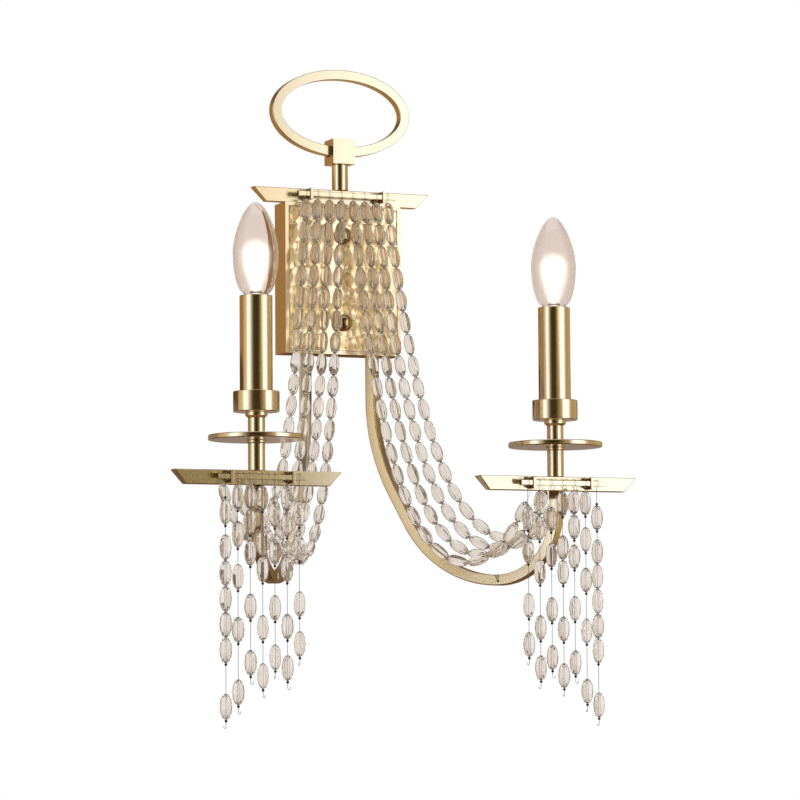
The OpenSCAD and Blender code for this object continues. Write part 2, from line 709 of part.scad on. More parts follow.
wall_bracket();
fixing_studs();
cap_nuts();
backplate();
hammered_panel();
terminal_block();
top_bar();
top_rail();
top_stem();
ring_block();
ring();
tie_rod();
arm(-1);  // left_arm
arm(1);  // right_arm
candle_bar(-1);  // left_candle_bar
candle_bar(1);  // right_candle_bar
front_rail(-1);  // left_front_rail
front_rail(1);  // right_front_rail
rear_rail(-1);  // left_rear_rail
rear_rail(1);  // right_rear_rail
stems(-1);  // left_stems
stems(1);  // right_stems
drip_disc(-1);  // left_drip_disc
drip_disc(1);  // right_drip_disc
cup(-1);  // left_cup
cup(1);  // right_cup
nipple(-1);  // left_nipple
nipple(1);  // right_nipple
sleeve(-1);  // left_sleeve
sleeve(1);  // right_sleeve
lampholder(-1);  // left_lampholder
lampholder(1);  // right_lampholder
bulb_cap(-1);  // left_bulb_cap
bulb_cap(1);  // right_bulb_cap
bulb_glass(-1);  // left_bulb_glass
bulb_glass(1);  // right_bulb_glass
bulb_core(-1);  // left_bulb_core
bulb_core(1);  // right_bulb_core
for (k = [1:7]) {
    hanging_strand(-1, k);
    hanging_strand(1, k);
}
for (k = [1:4]) {
    draped_strand(-1, k);
    draped_strand(1, k);
}
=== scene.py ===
"""Looks of the candle wall light: brushed gold frame, hammered plate, candle bulbs and strands of glass beads."""

import logging
import math
from dataclasses import dataclass, replace
from enum import Enum

import bmesh
import bpy
import numpy as np
from mathutils import Matrix, Vector


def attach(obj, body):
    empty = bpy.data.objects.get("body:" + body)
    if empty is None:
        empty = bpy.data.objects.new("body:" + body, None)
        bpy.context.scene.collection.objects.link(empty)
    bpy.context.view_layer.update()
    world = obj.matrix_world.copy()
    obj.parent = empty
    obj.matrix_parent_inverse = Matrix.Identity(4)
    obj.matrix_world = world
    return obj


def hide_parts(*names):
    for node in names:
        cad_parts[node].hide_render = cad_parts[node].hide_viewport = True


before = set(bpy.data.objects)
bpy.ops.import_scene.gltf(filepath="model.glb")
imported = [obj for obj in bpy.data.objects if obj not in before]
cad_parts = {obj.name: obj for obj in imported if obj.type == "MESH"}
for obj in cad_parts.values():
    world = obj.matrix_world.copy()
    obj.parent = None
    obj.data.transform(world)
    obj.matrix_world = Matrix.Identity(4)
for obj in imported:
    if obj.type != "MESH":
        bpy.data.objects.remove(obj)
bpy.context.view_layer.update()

MM = 0.001
Array = np.ndarray
log = logging.getLogger("wall_light")


class Side(Enum):
    """The two mirrored halves of the light, as the sign of X."""

    LEFT = -1
    RIGHT = 1

    @property
    def word(self) -> str:
        """Name of the side as the CAD nodes give it."""
        return self.name.lower()


class Slot(Enum):
    """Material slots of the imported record."""

    GOLD = "gold"
    HAMMERED = "hammered_gold"
    STEEL = "steel"
    NICKEL = "nickel"
    PLASTIC = "ivory_plastic"
    BULB = "bulb_glass"
    CORE = "bulb_core"
    BEAD = "bead_glass"


# Surfaces


def unit(vectors: Array) -> Array:
    """Vectors of the last axis, each divided by its own length."""
    return vectors / np.linalg.norm(vectors, axis=-1, keepdims=True)


def cells(number: Array, closed: bool = True) -> Array:
    """Four-sided faces between neighbouring rows of point numbers.

    Face (i, j) has the corners (i, j), (i, j + 1), (i + 1, j + 1) and (i + 1, j).

    Args:
        number: the numbers, rows x points in a row.
        closed: each row closes on itself.

    Returns:
        The faces, one row each.
    """
    here, following = (number, np.roll(number, -1, 1)) if closed else (number[:, :-1], number[:, 1:])
    return np.stack([here[:-1], following[:-1], following[1:], here[1:]], -1).reshape(-1, 4)


@dataclass
class Surface:
    """Points in millimetres and the faces between them.

    Args:
        points: one row of x, y, z for each point.
        faces: arrays of point numbers, one row for each face, all rows of an array alike in length.
    """

    points: Array
    faces: list[Array]

    @staticmethod
    def grid(points: Array, loop_rows: bool = False, cap_ends: bool = False) -> "Surface":
        """Skin over rings of points: ring i joins ring i + 1, and each ring closes on itself.

        Args:
            points: rings x points in a ring x 3.
            loop_rows: the last ring joins the first, as round a tube with a bore.
            cap_ends: the first and last rings get a fan of triangles to their middles.

        Returns:
            The skin, with its faces outwards.
        """
        rows, cols = points.shape[:2]
        number = np.arange(rows * cols).reshape(rows, cols)
        flat, faces = points.reshape(-1, 3), [cells(np.concatenate([number, number[:1]]) if loop_rows else number)]
        if cap_ends:
            flat = np.concatenate([flat, points[[0, -1]].mean(1)])
            first, last = number[0], number[-1]
            faces.append(np.concatenate([
                np.stack([np.roll(first, -1), first, np.full(cols, rows * cols)], -1),
                np.stack([last, np.roll(last, -1), np.full(cols, rows * cols + 1)], -1)]))
        return Surface(flat, faces).outward()

    @staticmethod
    def joined(parts: list["Surface"]) -> "Surface":
        """All parts as one surface, their point numbers shifted past each other's.

        Args:
            parts: the surfaces.

        Returns:
            The one surface.
        """
        starts = np.cumsum([0] + [len(p.points) for p in parts])
        return Surface(np.concatenate([p.points for p in parts]),
                       [f + s for p, s in zip(parts, starts) for f in p.faces])

    def outward(self) -> "Surface":
        """Turns every face round if the volume that the faces enclose comes out below nothing.

        The volume is the sum of a * (b x c) / 6 over the triangles of each face.

        Returns:
            The surface itself.
        """
        total = 0.0
        for f in self.faces:
            a, b, c = self.points[f[:, :1]], self.points[f[:, 1:-1]], self.points[f[:, 2:]]
            total += (a * np.cross(b, c)).sum()
        if total < 0:
            self.faces = [f[:, ::-1] for f in self.faces]
        return self

    def moved(self, x: float = 0.0, y: float = 0.0, z: float = 0.0) -> "Surface":
        """The surface shifted by x, y, z."""
        return Surface(self.points + np.array([x, y, z]), self.faces)

    def mirrored(self) -> "Surface":
        """The surface with x turned to -x, its faces turned to point outwards again."""
        return Surface(self.points * np.array([-1.0, 1.0, 1.0]), [f[:, ::-1] for f in self.faces])

    def mesh(self, name: str) -> bpy.types.Mesh:
        """A smooth-shaded mesh of the surface, in metres.

        Args:
            name: name of the mesh.

        Returns:
            The mesh.
        """
        sizes = np.concatenate([np.full(len(f), f.shape[1]) for f in self.faces])
        corners = np.concatenate([f.ravel() for f in self.faces]).astype(np.int32)
        mesh = bpy.data.meshes.new(name)
        mesh.vertices.add(len(self.points))
        mesh.vertices.foreach_set("co", (self.points * MM).astype(np.float32).ravel())
        mesh.loops.add(len(corners))
        mesh.loops.foreach_set("vertex_index", corners)
        mesh.polygons.add(len(sizes))
        mesh.polygons.foreach_set("loop_start", (np.cumsum(sizes) - sizes).astype(np.int32))
        mesh.update(calc_edges=True)
        mesh.validate()
        mesh.polygons.foreach_set("use_smooth", np.ones(len(mesh.polygons), bool))
        return mesh


def rounded_outline(corners: Array, radius: float | Array, steps: int = 3, support: float = 0.05) -> Array:
    """Closed outline whose corners are arcs that touch both their sides.

    The middle of an arc lies at corner - s r (n1 + n2) / (1 + n1 . n2), where n1 and n2 are the normals of its
    two sides and s is 1 at an outer corner and -1 at an inner one. A point just past each end of the arc keeps
    the shading of the flat side flat.

    Args:
        corners: corners of the outline, anticlockwise, one row each.
        radius: radius of the arcs, one for all or one a corner.
        steps: faces in an arc.
        support: distance of the points past the arc's ends.

    Returns:
        Points of the outline, one row each.
    """
    u = unit(corners - np.roll(corners, 1, 0))
    v = unit(np.roll(corners, -1, 0) - corners)
    n1, n2 = np.stack([u[:, 1], -u[:, 0]], 1), np.stack([v[:, 1], -v[:, 0]], 1)
    turn = np.arctan2(u[:, 0] * v[:, 1] - u[:, 1] * v[:, 0], (u * v).sum(1))
    pull = (np.sign(turn) * np.broadcast_to(radius, len(corners)))[:, None]
    middle = corners - pull * (n1 + n2) / (1 + (n1 * n2).sum(1, keepdims=True))
    angle = np.arctan2(n1[:, 1], n1[:, 0])[:, None] + turn[:, None] * np.linspace(0, 1, steps + 1)
    arc = middle[:, None] + pull[:, None] * np.stack([np.cos(angle), np.sin(angle)], -1)
    return np.concatenate([arc[:, :1] - support * u[:, None], arc, arc[:, -1:] + support * v[:, None]],
                          1).reshape(-1, 2)


def rectangle(left: float, low: float, right: float, high: float) -> Array:
    """Corners of a rectangle, anticlockwise."""
    return np.array([[left, low], [right, low], [right, high], [left, high]])


def square(width: float, edge: float, steps: int = 3) -> Array:
    """Square outline round its own middle, with rounded corners."""
    return rounded_outline(rectangle(-width / 2, -width / 2, width / 2, width / 2), edge, steps)


def turned(outline: Array, steps: int = 96, bored: bool = True) -> Surface:
    """Outline of radius and height turned round the Z axis.

    Args:
        outline: radius and height, one row each.
        steps: faces round the axis.
        bored: the outline is closed and stays clear of the axis. Otherwise its ends are capped.

    Returns:
        The turned surface.
    """
    angle = np.linspace(0, 2 * np.pi, steps, endpoint=False)
    r, z = outline[:, :1], np.broadcast_to(outline[:, 1:], (len(outline), steps))
    return Surface.grid(np.stack([r * np.cos(angle), r * np.sin(angle), z], -1),
                        loop_rows=bored, cap_ends=not bored)


def turned_tube(bore: float, radius: float, low: float, high: float, edge: float | Array = 0.3,
                edge_steps: int = 2, steps: int = 64) -> Surface:
    """Tube or pierced disc round the Z axis: a rectangle of radius and height, turned.

    Args:
        bore: radius of its hole.
        radius: its radius.
        low: height of its foot.
        high: height of its top.
        edge: radius of its edges, one for all or one each.
        edge_steps: faces across an edge.
        steps: faces round the axis.

    Returns:
        The tube.
    """
    return turned(rounded_outline(rectangle(bore, low, radius, high), edge, edge_steps), steps)


def swept(outline: Array, path: Array, across: Array, bore: Array | None = None) -> Surface:
    """Outline carried along a path that lies in one plane.

    Outline point (p, q) at path point c is c + p n + q b, where n is the plane's normal and b = n x tangent.

    Args:
        outline: closed outline, one row a point.
        path: points of the path.
        across: the plane's normal n, of length 1.
        bore: inner outline with as many points, for a hollow bar.

    Returns:
        The bar, with closed ends.
    """
    up = unit(np.cross(across, np.gradient(path, axis=0)))

    def rings(shape: Array) -> Array:
        """Rings of one outline along the path."""
        return path[:, None] + shape[None, :, :1] * across + shape[None, :, 1:] * up[:, None]

    if bore is None:
        return Surface.grid(rings(outline), cap_ends=True)
    return Surface.grid(np.concatenate([rings(outline), rings(bore)[::-1]]), loop_rows=True)


def wire_rings(path: Array, diameter: float, first: Array, second: Array, sides: int) -> Array:
    """Rings of a round wire: the points path + diameter / 2 (first cos f + second sin f) for angles f.

    Args:
        path: middles of the rings.
        diameter: the wire's diameter.
        first: a direction square to the path at each ring.
        second: the direction square to both, at each ring or one for all.
        sides: points in a ring.

    Returns:
        rings x sides x 3 points.
    """
    angle = np.linspace(0, 2 * np.pi, sides, endpoint=False)[None, :, None]
    return path[:, None] + diameter / 2 * (np.cos(angle) * first[:, None] + np.sin(angle) * second[:, None])


def round_wire(path: Array, diameter: float, across: Array, sides: int = 8) -> Surface:
    """Wire of a round section along a path that lies in one plane, whose normal is across."""
    angle = np.linspace(0, 2 * np.pi, sides, endpoint=False)
    return swept(diameter / 2 * np.stack([np.cos(angle), np.sin(angle)], 1), path, across)


def smooth_curve(points: Array, steps: int) -> Array:
    """Catmull-Rom curve through points.

    Between b and c, with a before them and d after, it is
    (2 b + (c - a) t + (2 a - 5 b + 4 c - d) t^2 + (3 b - a - 3 c + d) t^3) / 2.

    Args:
        points: the points, one row each.
        steps: steps on each span.

    Returns:
        Points of the curve, the last point included.
    """
    padded = np.concatenate([2 * points[:1] - points[1:2], points, 2 * points[-1:] - points[-2:-1]])
    a, b, c, d = (padded[k:len(padded) - 3 + k, None] for k in range(4))
    t = np.linspace(0, 1, steps, endpoint=False)[None, :, None]
    curve = 0.5 * (2 * b + (c - a) * t + (2 * a - 5 * b + 4 * c - d) * t ** 2 + (3 * b - a - 3 * c + d) * t ** 3)
    return np.concatenate([curve.reshape(-1, points.shape[1]), points[-1:]])


@dataclass(frozen=True)
class SlantedBar:
    """Bar along X whose ends and faces lean inwards towards its foot, with rounded edges.

    Args:
        length: length along the top.
        height: height along Z.
        thick: thickness at the top.
        foot: thickness at the foot.
        inset: how far each end leans in at the foot.
        edge: radius of the edges.
    """

    length: float
    height: float
    thick: float
    foot: float
    inset: float = 0.0
    edge: float = 0.6

    def surface(self) -> Surface:
        """The bar with its foot at z = 0.

        The section is a trapezium drawn in by d = edge (1 - sin f) while the end grows by edge (1 - cos f), for
        f from 0 to 90 degrees, and x = (length / 2 - inset (1 - z / height) - growth) at each end.

        Returns:
            The closed surface.
        """
        turn = np.radians(np.linspace(0, 90, 4))
        past = self.edge + 0.08
        shrink = np.concatenate([[past], self.edge * (1 - np.sin(turn)), [0.0]])
        inwards = np.concatenate([[0.0], self.edge * (1 - np.cos(turn)), [past]])
        shrink, inwards = (np.concatenate([way, way[::-1]]) for way in (shrink, inwards))
        end = np.repeat([-1.0, 1.0], len(turn) + 2)
        rings = []
        for d, grow, way in zip(shrink, inwards, end):
            low, high = self.foot / 2 - d, self.thick / 2 - d
            corners = np.array([[-low, d], [low, d], [high, self.height - d], [-high, self.height - d]])
            y, z = rounded_outline(corners, max(self.edge - d, 0.02)).T
            rings.append(np.stack([way * (self.length / 2 - self.inset * (1 - z / self.height) - grow), y, z], 1))
        return Surface.grid(np.array(rings), cap_ends=True)


def rounded_box(low: tuple[float, float, float], high: tuple[float, float, float], edge: float) -> Surface:
    """Box between two corners, with rounded edges.

    Args:
        low: its lowest x, y and z.
        high: its highest x, y and z.
        edge: radius of its edges.

    Returns:
        The box.
    """
    size = np.subtract(high, low)
    bar = SlantedBar(size[0], size[2], size[1], size[1], 0.0, edge).surface()
    return bar.moved((low[0] + high[0]) / 2, (low[1] + high[1]) / 2, low[2])


# Shader groups


class NodeSheet:
    """A node tree with short calls for adding nodes and links."""

    def __init__(self, tree: bpy.types.NodeTree) -> None:
        """Empties the tree.

        Args:
            tree: the material's or group's tree.
        """
        self.tree = tree
        tree.nodes.clear()

    def add(self, kind: str, settings: dict | None = None, **inputs: object) -> bpy.types.Node:
        """Adds a node.

        Args:
            kind: the node's type.
            settings: properties of the node by name.
            inputs: values or sockets by the input's name, an underscore for a space.

        Returns:
            The node.
        """
        node = self.tree.nodes.new(kind)
        for key, value in (settings or {}).items():
            setattr(node, key, value)
        for key, value in inputs.items():
            self.feed(node, key.replace("_", " "), value)
        return node

    def feed(self, node: bpy.types.Node, socket: str | int, value: object) -> None:
        """Links a socket to an input, or sets the input's value.

        Args:
            node: the node.
            socket: name or number of the input.
            value: a socket or a plain value.
        """
        if isinstance(value, bpy.types.NodeSocket):
            self.tree.links.new(value, node.inputs[socket])
        else:
            node.inputs[socket].default_value = value

    def math(self, operation: str, a: object, b: object = 0.0, c: object = 0.0) -> bpy.types.NodeSocket:
        """Result of a math node on up to three values.

        Args:
            operation: the node's operation.
            a: first value or socket.
            b: second value or socket.
            c: third value or socket.

        Returns:
            The result's socket.
        """
        node = self.tree.nodes.new("ShaderNodeMath")
        node.operation = operation
        for k, value in enumerate((a, b, c)):
            self.feed(node, k, value)
        return node.outputs[0]

    def position(self) -> bpy.types.NodeOutputs:
        """X, Y and Z of the surface, from the object's own coordinates."""
        return self.add("ShaderNodeSeparateXYZ", Vector=self.add("ShaderNodeTexCoord").outputs["Object"]).outputs

    def close(self, surface: bpy.types.NodeSocket, kind: str = "Material") -> None:
        """Links the finished shader to the tree's output."""
        self.tree.links.new(surface, self.add(f"ShaderNodeOutput{kind}").inputs[0])

    def glow(self, color: object, strength: object = 1.0) -> None:
        """Makes the tree a plain glow of a colour and strength."""
        self.close(self.add("ShaderNodeEmission", Color=color, Strength=strength).outputs[0])

    def mix(self, factor: object, a: object, b: object) -> bpy.types.NodeSocket:
        """Colour between a and b by factor.

        Args:
            factor: share of b.
            a: first colour or socket.
            b: second colour or socket.

        Returns:
            The mixed colour's socket.
        """
        node = self.tree.nodes.new("ShaderNodeMix")
        node.data_type = "RGBA"
        for k, value in ((0, factor), (6, a), (7, b)):
            self.feed(node, k, value)
        return node.outputs[2]

    def ramp(self, factor: object, stops: list[tuple[float, tuple[float, float, float]]],
             smooth: bool = True) -> bpy.types.NodeSocket:
        """Colour from a ramp of stops, each a position and a colour.

        Args:
            factor: place on the ramp.
            stops: position and colour of each stop.
            smooth: eased between stops, not straight.

        Returns:
            The colour's socket.
        """
        node = self.tree.nodes.new("ShaderNodeValToRGB")
        node.color_ramp.interpolation = "EASE" if smooth else "LINEAR"
        elements = node.color_ramp.elements
        while len(elements) < len(stops):
            elements.new(0.5)
        for element, (place, color) in zip(elements, stops):
            element.position, element.color = place, (*color, 1.0)
        self.feed(node, 0, factor)
        return node.outputs[0]


def new_material(name: str) -> tuple[bpy.types.Material, NodeSheet]:
    """A material and its empty tree.

    Args:
        name: its name.

    Returns:
        The material and the node sheet of its tree.
    """
    material = bpy.data.materials.new(name)
    material.use_nodes = True
    return material, NodeSheet(material.node_tree)


class GroupKit:
    """Shader groups that several finishes use, each built once."""

    def __init__(self) -> None:
        """Starts with no group built."""
        self.built: dict[str, bpy.types.NodeTree] = {}

    def _new(self, name: str, inputs: dict[str, float], outputs: list[str]) -> NodeSheet:
        """Opens a group with float inputs and outputs.

        Args:
            name: name of the group.
            inputs: its inputs and their usual values.
            outputs: names of its outputs.

        Returns:
            The node sheet of the group's tree.
        """
        tree = bpy.data.node_groups.new(name, "ShaderNodeTree")
        for key, value in inputs.items():
            socket = tree.interface.new_socket(key, in_out="INPUT", socket_type="NodeSocketFloat")
            socket.default_value = value
        for key in outputs:
            tree.interface.new_socket(key, in_out="OUTPUT", socket_type="NodeSocketFloat")
        self.built[name] = tree
        return NodeSheet(tree)

    def speckle(self) -> bpy.types.NodeTree:
        """Fine flakes of paint: Flake is a mask of small bright grains, Cloud a slow change of tone, Height a bump.

        Flake is noise at Scale, spread from 0 to 1, Cloud is noise at a fiftieth of it, and Height is the fine
        noise itself.

        Returns:
            The group's tree.
        """
        if "speckle" in self.built:
            return self.built["speckle"]
        sheet = self._new("speckle", {"Scale": 2500.0}, ["Flake", "Cloud", "Height"])
        source = sheet.add("NodeGroupInput")
        spot = sheet.add("ShaderNodeTexCoord").outputs["Object"]
        fine = sheet.add("ShaderNodeTexNoise", Vector=spot, Scale=source.outputs["Scale"], Detail=1.0).outputs[0]
        slow = sheet.add("ShaderNodeTexNoise", Vector=spot, Detail=3.0,
                         Scale=sheet.math("MULTIPLY", source.outputs["Scale"], 0.02)).outputs[0]
        flake = sheet.add("ShaderNodeMapRange", Value=fine, From_Min=0.35, From_Max=0.75).outputs[0]
        sheet.add("NodeGroupOutput", Flake=flake, Cloud=slow, Height=fine)
        return sheet.tree

    def thread(self) -> bpy.types.NodeTree:
        """Screw thread as a bump along Z or Y: Height is 1 - |2 f - 1|, where f is the share of a turn.

        Returns:
            The group's tree.
        """
        if "thread" in self.built:
            return self.built["thread"]
        sheet = self._new("thread", {"Pitch": 0.7, "Along Z": 1.0}, ["Height"])
        source = sheet.add("NodeGroupInput")
        _, y, z = sheet.position()
        along = sheet.math("MULTIPLY_ADD", sheet.math("SUBTRACT", z, y), source.outputs["Along Z"], y)
        turn = sheet.math("FRACT", sheet.math("DIVIDE", along, sheet.math("MULTIPLY", source.outputs["Pitch"], MM)))
        wave = sheet.math("SUBTRACT", 1.0, sheet.math("ABSOLUTE", sheet.math("MULTIPLY_ADD", turn, 2.0, -1.0)))
        sheet.tree.links.new(wave, sheet.add("NodeGroupOutput").inputs[0])
        return sheet.tree

    def place(self, sheet: NodeSheet, tree: bpy.types.NodeTree, **values: float) -> bpy.types.Node:
        """Puts a group into a material with its own values.

        Args:
            sheet: the material's tree.
            tree: the group's tree.
            values: values of its inputs, an underscore for a space.

        Returns:
            The group's node.
        """
        node = sheet.add("ShaderNodeGroup", {"node_tree": tree})
        for key, value in values.items():
            node.inputs[key.replace("_", " ")].default_value = value
        return node


KIT = GroupKit()
Color = tuple[float, float, float]


@dataclass(frozen=True)
class Finish:
    """What every finish shares: its name, and the slot of the record that it stands for, which is not used."""

    name: str
    slot: Slot

    def material(self) -> bpy.types.Material:
        """The finish's material, built when it is first asked for.

        Returns:
            The material.
        """
        found = bpy.data.materials.get(self.name)
        if found is None:
            found, sheet = new_material(self.name)
            sheet.close(self.shader(sheet))
        return found

    def shader(self, sheet: NodeSheet) -> bpy.types.NodeSocket:
        """Builds the finish's shader. Each kind of finish has its own."""
        raise NotImplementedError


@dataclass(frozen=True)
class MetalPaint(Finish):
    """Metallic paint or bare metal with fine flakes.

    Args:
        color: colour of the metal.
        flake: colour of its bright grains.
        rough: roughness between grains.
        coat: weight of the clear lacquer.
        grain: size of the grain's bump in metres.
        pitch: pitch in millimetres of a thread cut in it, or 0.
        along_z: the thread's axis is Z, not Y.
        flake_share: how far a grain turns the colour.
        cloud_share: how far a cloud turns it.
        dull: share of the colour that is left in a cloud.
        thread_depth: depth of a thread as a share of its pitch.
    """

    color: Color = (0.74, 0.585, 0.37)
    flake: Color = (0.9, 0.79, 0.58)
    rough: float = 0.2
    coat: float = 0.3
    grain: float = 0.000012
    pitch: float = 0.0
    along_z: bool = True
    flake_share: float = 0.6
    cloud_share: float = 0.3
    dull: float = 0.86
    thread_depth: float = 0.4

    def shader(self, sheet: NodeSheet) -> bpy.types.NodeSocket:
        """Flakes turn the colour from the metal's to the grain's and change its roughness; clouds darken it.

        Args:
            sheet: the material's empty tree.

        Returns:
            The shader's socket.
        """
        speckle = KIT.place(sheet, KIT.speckle(), Scale=1500.0).outputs
        tone = sheet.mix(sheet.math("MULTIPLY", speckle["Flake"], self.flake_share), (*self.color, 1),
                         (*self.flake, 1))
        dull = tuple(self.dull * c for c in self.color)
        tone = sheet.mix(sheet.math("MULTIPLY", speckle["Cloud"], self.cloud_share), tone, (*dull, 1))
        rough = sheet.math("MULTIPLY_ADD", speckle["Flake"], 0.08, self.rough - 0.03)
        bump = sheet.add("ShaderNodeBump", Distance=self.grain, Height=speckle["Height"])
        if self.pitch:
            thread = KIT.place(sheet, KIT.thread(), Pitch=self.pitch, Along_Z=float(self.along_z))
            bump = sheet.add("ShaderNodeBump", Distance=self.thread_depth * self.pitch * MM,
                             Height=thread.outputs[0], Normal=bump.outputs[0])
        node = sheet.add("ShaderNodeBsdfPrincipled", Base_Color=tone, Metallic=1.0, Roughness=rough,
                         Coat_Weight=self.coat, Coat_Roughness=0.12, Normal=bump.outputs[0])
        return node.outputs[0]


@dataclass(frozen=True)
class MouldedPlastic(Finish):
    """Moulded plastic with a faint orange-peel surface.

    Args:
        color: the plastic's colour.
        rough: its roughness.
        aged: share of each part of the colour that is left where it has yellowed.
    """

    color: Color = (0.76, 0.7, 0.58)
    rough: float = 0.45
    aged: Color = (0.95, 0.9, 0.78)

    def shader(self, sheet: NodeSheet) -> bpy.types.NodeSocket:
        """Clouds yellow the colour a little, and the grain bumps it.

        Args:
            sheet: the material's empty tree.

        Returns:
            The shader's socket.
        """
        speckle = KIT.place(sheet, KIT.speckle(), Scale=900.0).outputs
        aged = tuple(c * share for c, share in zip(self.color, self.aged))
        tone = sheet.mix(sheet.math("MULTIPLY", speckle["Cloud"], 0.6), (*self.color, 1), (*aged, 1))
        bump = sheet.add("ShaderNodeBump", Distance=0.00003, Height=speckle["Height"])
        rough = sheet.math("MULTIPLY_ADD", speckle["Flake"], 0.1, self.rough)
        return sheet.add("ShaderNodeBsdfPrincipled", Base_Color=tone, Roughness=rough,
                         Normal=bump.outputs[0]).outputs[0]


@dataclass(frozen=True)
class ClearGlass(Finish):
    """Clear glass with a faint tint and slight ripples.

    Args:
        tint: colour that it gives to what shows through it.
        rim: colour in its thicker clouds.
        rough: roughness.
        ripple: depth of the ripples in metres.
        ior: how strongly it bends light.
        clear: share of light that passes. The rest makes it milky.
    """

    tint: Color = (0.93, 0.87, 0.8)
    rim: Color = (0.87, 0.79, 0.7)
    rough: float = 0.02
    ripple: float = 0.00002
    ior: float = 1.5
    clear: float = 1.0

    def shader(self, sheet: NodeSheet) -> bpy.types.NodeSocket:
        """Clouds turn the tint a little, and slow noise ripples the normal.

        Args:
            sheet: the material's empty tree.

        Returns:
            The shader's socket.
        """
        speckle = KIT.place(sheet, KIT.speckle(), Scale=700.0).outputs
        tone = sheet.mix(speckle["Cloud"], (*self.tint, 1), (*self.rim, 1))
        bump = sheet.add("ShaderNodeBump", Distance=self.ripple, Height=speckle["Cloud"])
        node = sheet.add("ShaderNodeBsdfPrincipled", Base_Color=tone, Normal=bump.outputs[0], Metallic=0.0,
                         Transmission_Weight=self.clear, IOR=self.ior, Roughness=self.rough)
        return node.outputs[0]


@dataclass(frozen=True)
class LitHalo(Finish):
    """Bright glow round the filament, solid in its middle and fading to its edge.

    Args:
        color: colour of the glow.
        strength: strength in its middle.
        falloff: how fast it fades towards its edge.
    """

    color: Color = (1.0, 0.96, 0.88)
    strength: float = 2.0
    falloff: float = 5.5

    def shader(self, sheet: NodeSheet) -> bpy.types.NodeSocket:
        """Alpha is (1 - facing) to the power of the falloff, so that the edge is soft from every side.

        Args:
            sheet: the material's empty tree.

        Returns:
            The shader's socket.
        """
        facing = sheet.add("ShaderNodeLayerWeight", Blend=0.5).outputs["Facing"]
        alpha = sheet.math("POWER", sheet.math("SUBTRACT", 1.0, facing), self.falloff)
        node = sheet.add("ShaderNodeBsdfPrincipled", Base_Color=(0, 0, 0, 1), Alpha=alpha, Specular_IOR_Level=0.0,
                         Emission_Color=(*self.color, 1), Emission_Strength=self.strength)
        return node.outputs[0]


@dataclass(frozen=True)
class LitFilament(Finish):
    """Glowing filament, hotter in its middle.

    Args:
        hot: colour of its brightest parts.
        warm: colour of its cooler parts.
        base: colour of the wire under the glow.
        strength: strength of the glow.
    """

    hot: Color = (1.0, 0.55, 0.18)
    warm: Color = (0.9, 0.3, 0.06)
    base: Color = (0.1, 0.05, 0.02)
    strength: float = 1.6

    def shader(self, sheet: NodeSheet) -> bpy.types.NodeSocket:
        """Clouds turn the glow from hot to warm.

        Args:
            sheet: the material's empty tree.

        Returns:
            The shader's socket.
        """
        speckle = KIT.place(sheet, KIT.speckle(), Scale=9000.0).outputs
        tone = sheet.mix(speckle["Cloud"], (*self.hot, 1), (*self.warm, 1))
        return sheet.add("ShaderNodeBsdfPrincipled", Base_Color=(*self.base, 1), Emission_Color=tone,
                         Emission_Strength=self.strength).outputs[0]


GOLD = MetalPaint("champagne_gold", Slot.GOLD)
BRIGHT_GOLD = MetalPaint("polished_gold_caps", Slot.GOLD, color=(0.5, 0.36, 0.18), flake=(0.62, 0.47, 0.26), rough=0.1,
                         coat=0.2)
HAMMERED = MetalPaint("hammered_gold_sheet", Slot.HAMMERED, color=(0.95, 0.7, 0.36), flake=(1.0, 0.9, 0.62),
                      rough=0.24, coat=0.4, grain=0.000015)
ZINC = MetalPaint("zinc_plate", Slot.STEEL, color=(0.6, 0.6, 0.58), flake=(0.75, 0.75, 0.73), rough=0.32, coat=0.0)
THREAD_Z = replace(ZINC, name="zinc_thread_upright", rough=0.3, pitch=0.7)
THREAD_Y = replace(THREAD_Z, name="zinc_thread_level", along_z=False)
NICKEL = MetalPaint("nickel_screw_cap", Slot.NICKEL, color=(0.66, 0.63, 0.57), flake=(0.8, 0.78, 0.72), rough=0.18,
                    coat=0.0, pitch=2.82)
WIRE = MetalPaint("grey_wire", Slot.BEAD, color=(0.2, 0.17, 0.15), flake=(0.4, 0.36, 0.32), rough=0.4, coat=0.0)
THREAD = MetalPaint("pale_thread", Slot.BEAD, color=(0.7, 0.64, 0.56), flake=(0.9, 0.86, 0.8), rough=0.35, coat=0.0)
CRIMP = MetalPaint("black_crimp", Slot.BEAD, color=(0.035, 0.025, 0.02), flake=(0.12, 0.1, 0.08), rough=0.3, coat=0.4)
PLASTIC = MouldedPlastic("moulded_ivory", Slot.PLASTIC)
BEAD_GLASS = ClearGlass("fluted_bead_glass", Slot.BEAD, clear=0.92)
BULB_GLASS = ClearGlass("blown_bulb_glass", Slot.BULB, tint=(0.88, 0.81, 0.76), rim=(0.85, 0.78, 0.73), rough=0.0,
                        ripple=0.00001, ior=1.45)
STEM_GLASS = ClearGlass("pressed_stem_glass", Slot.CORE, tint=(0.96, 0.95, 0.93), rim=(0.92, 0.9, 0.88), rough=0.25,
                        ripple=0.00004)
HALO = LitHalo("lit_halo", Slot.CORE)
FILAMENT = LitFilament("lit_filament", Slot.CORE)


# Pieces


def place(surface: Surface, name: str, finish: Finish, body: str, *nodes: str) -> bpy.types.Object:
    """Makes a piece of a surface, dresses it and ties it to its CAD body.

    Args:
        surface: the piece's shape, in millimetres.
        name: name of the piece.
        finish: its finish.
        body: the CAD body that it moves with.
        nodes: the CAD nodes that it stands for.

    Returns:
        The piece's object.
    """
    return tie(bpy.data.objects.new(name, surface.mesh(name)), finish, body, *nodes)


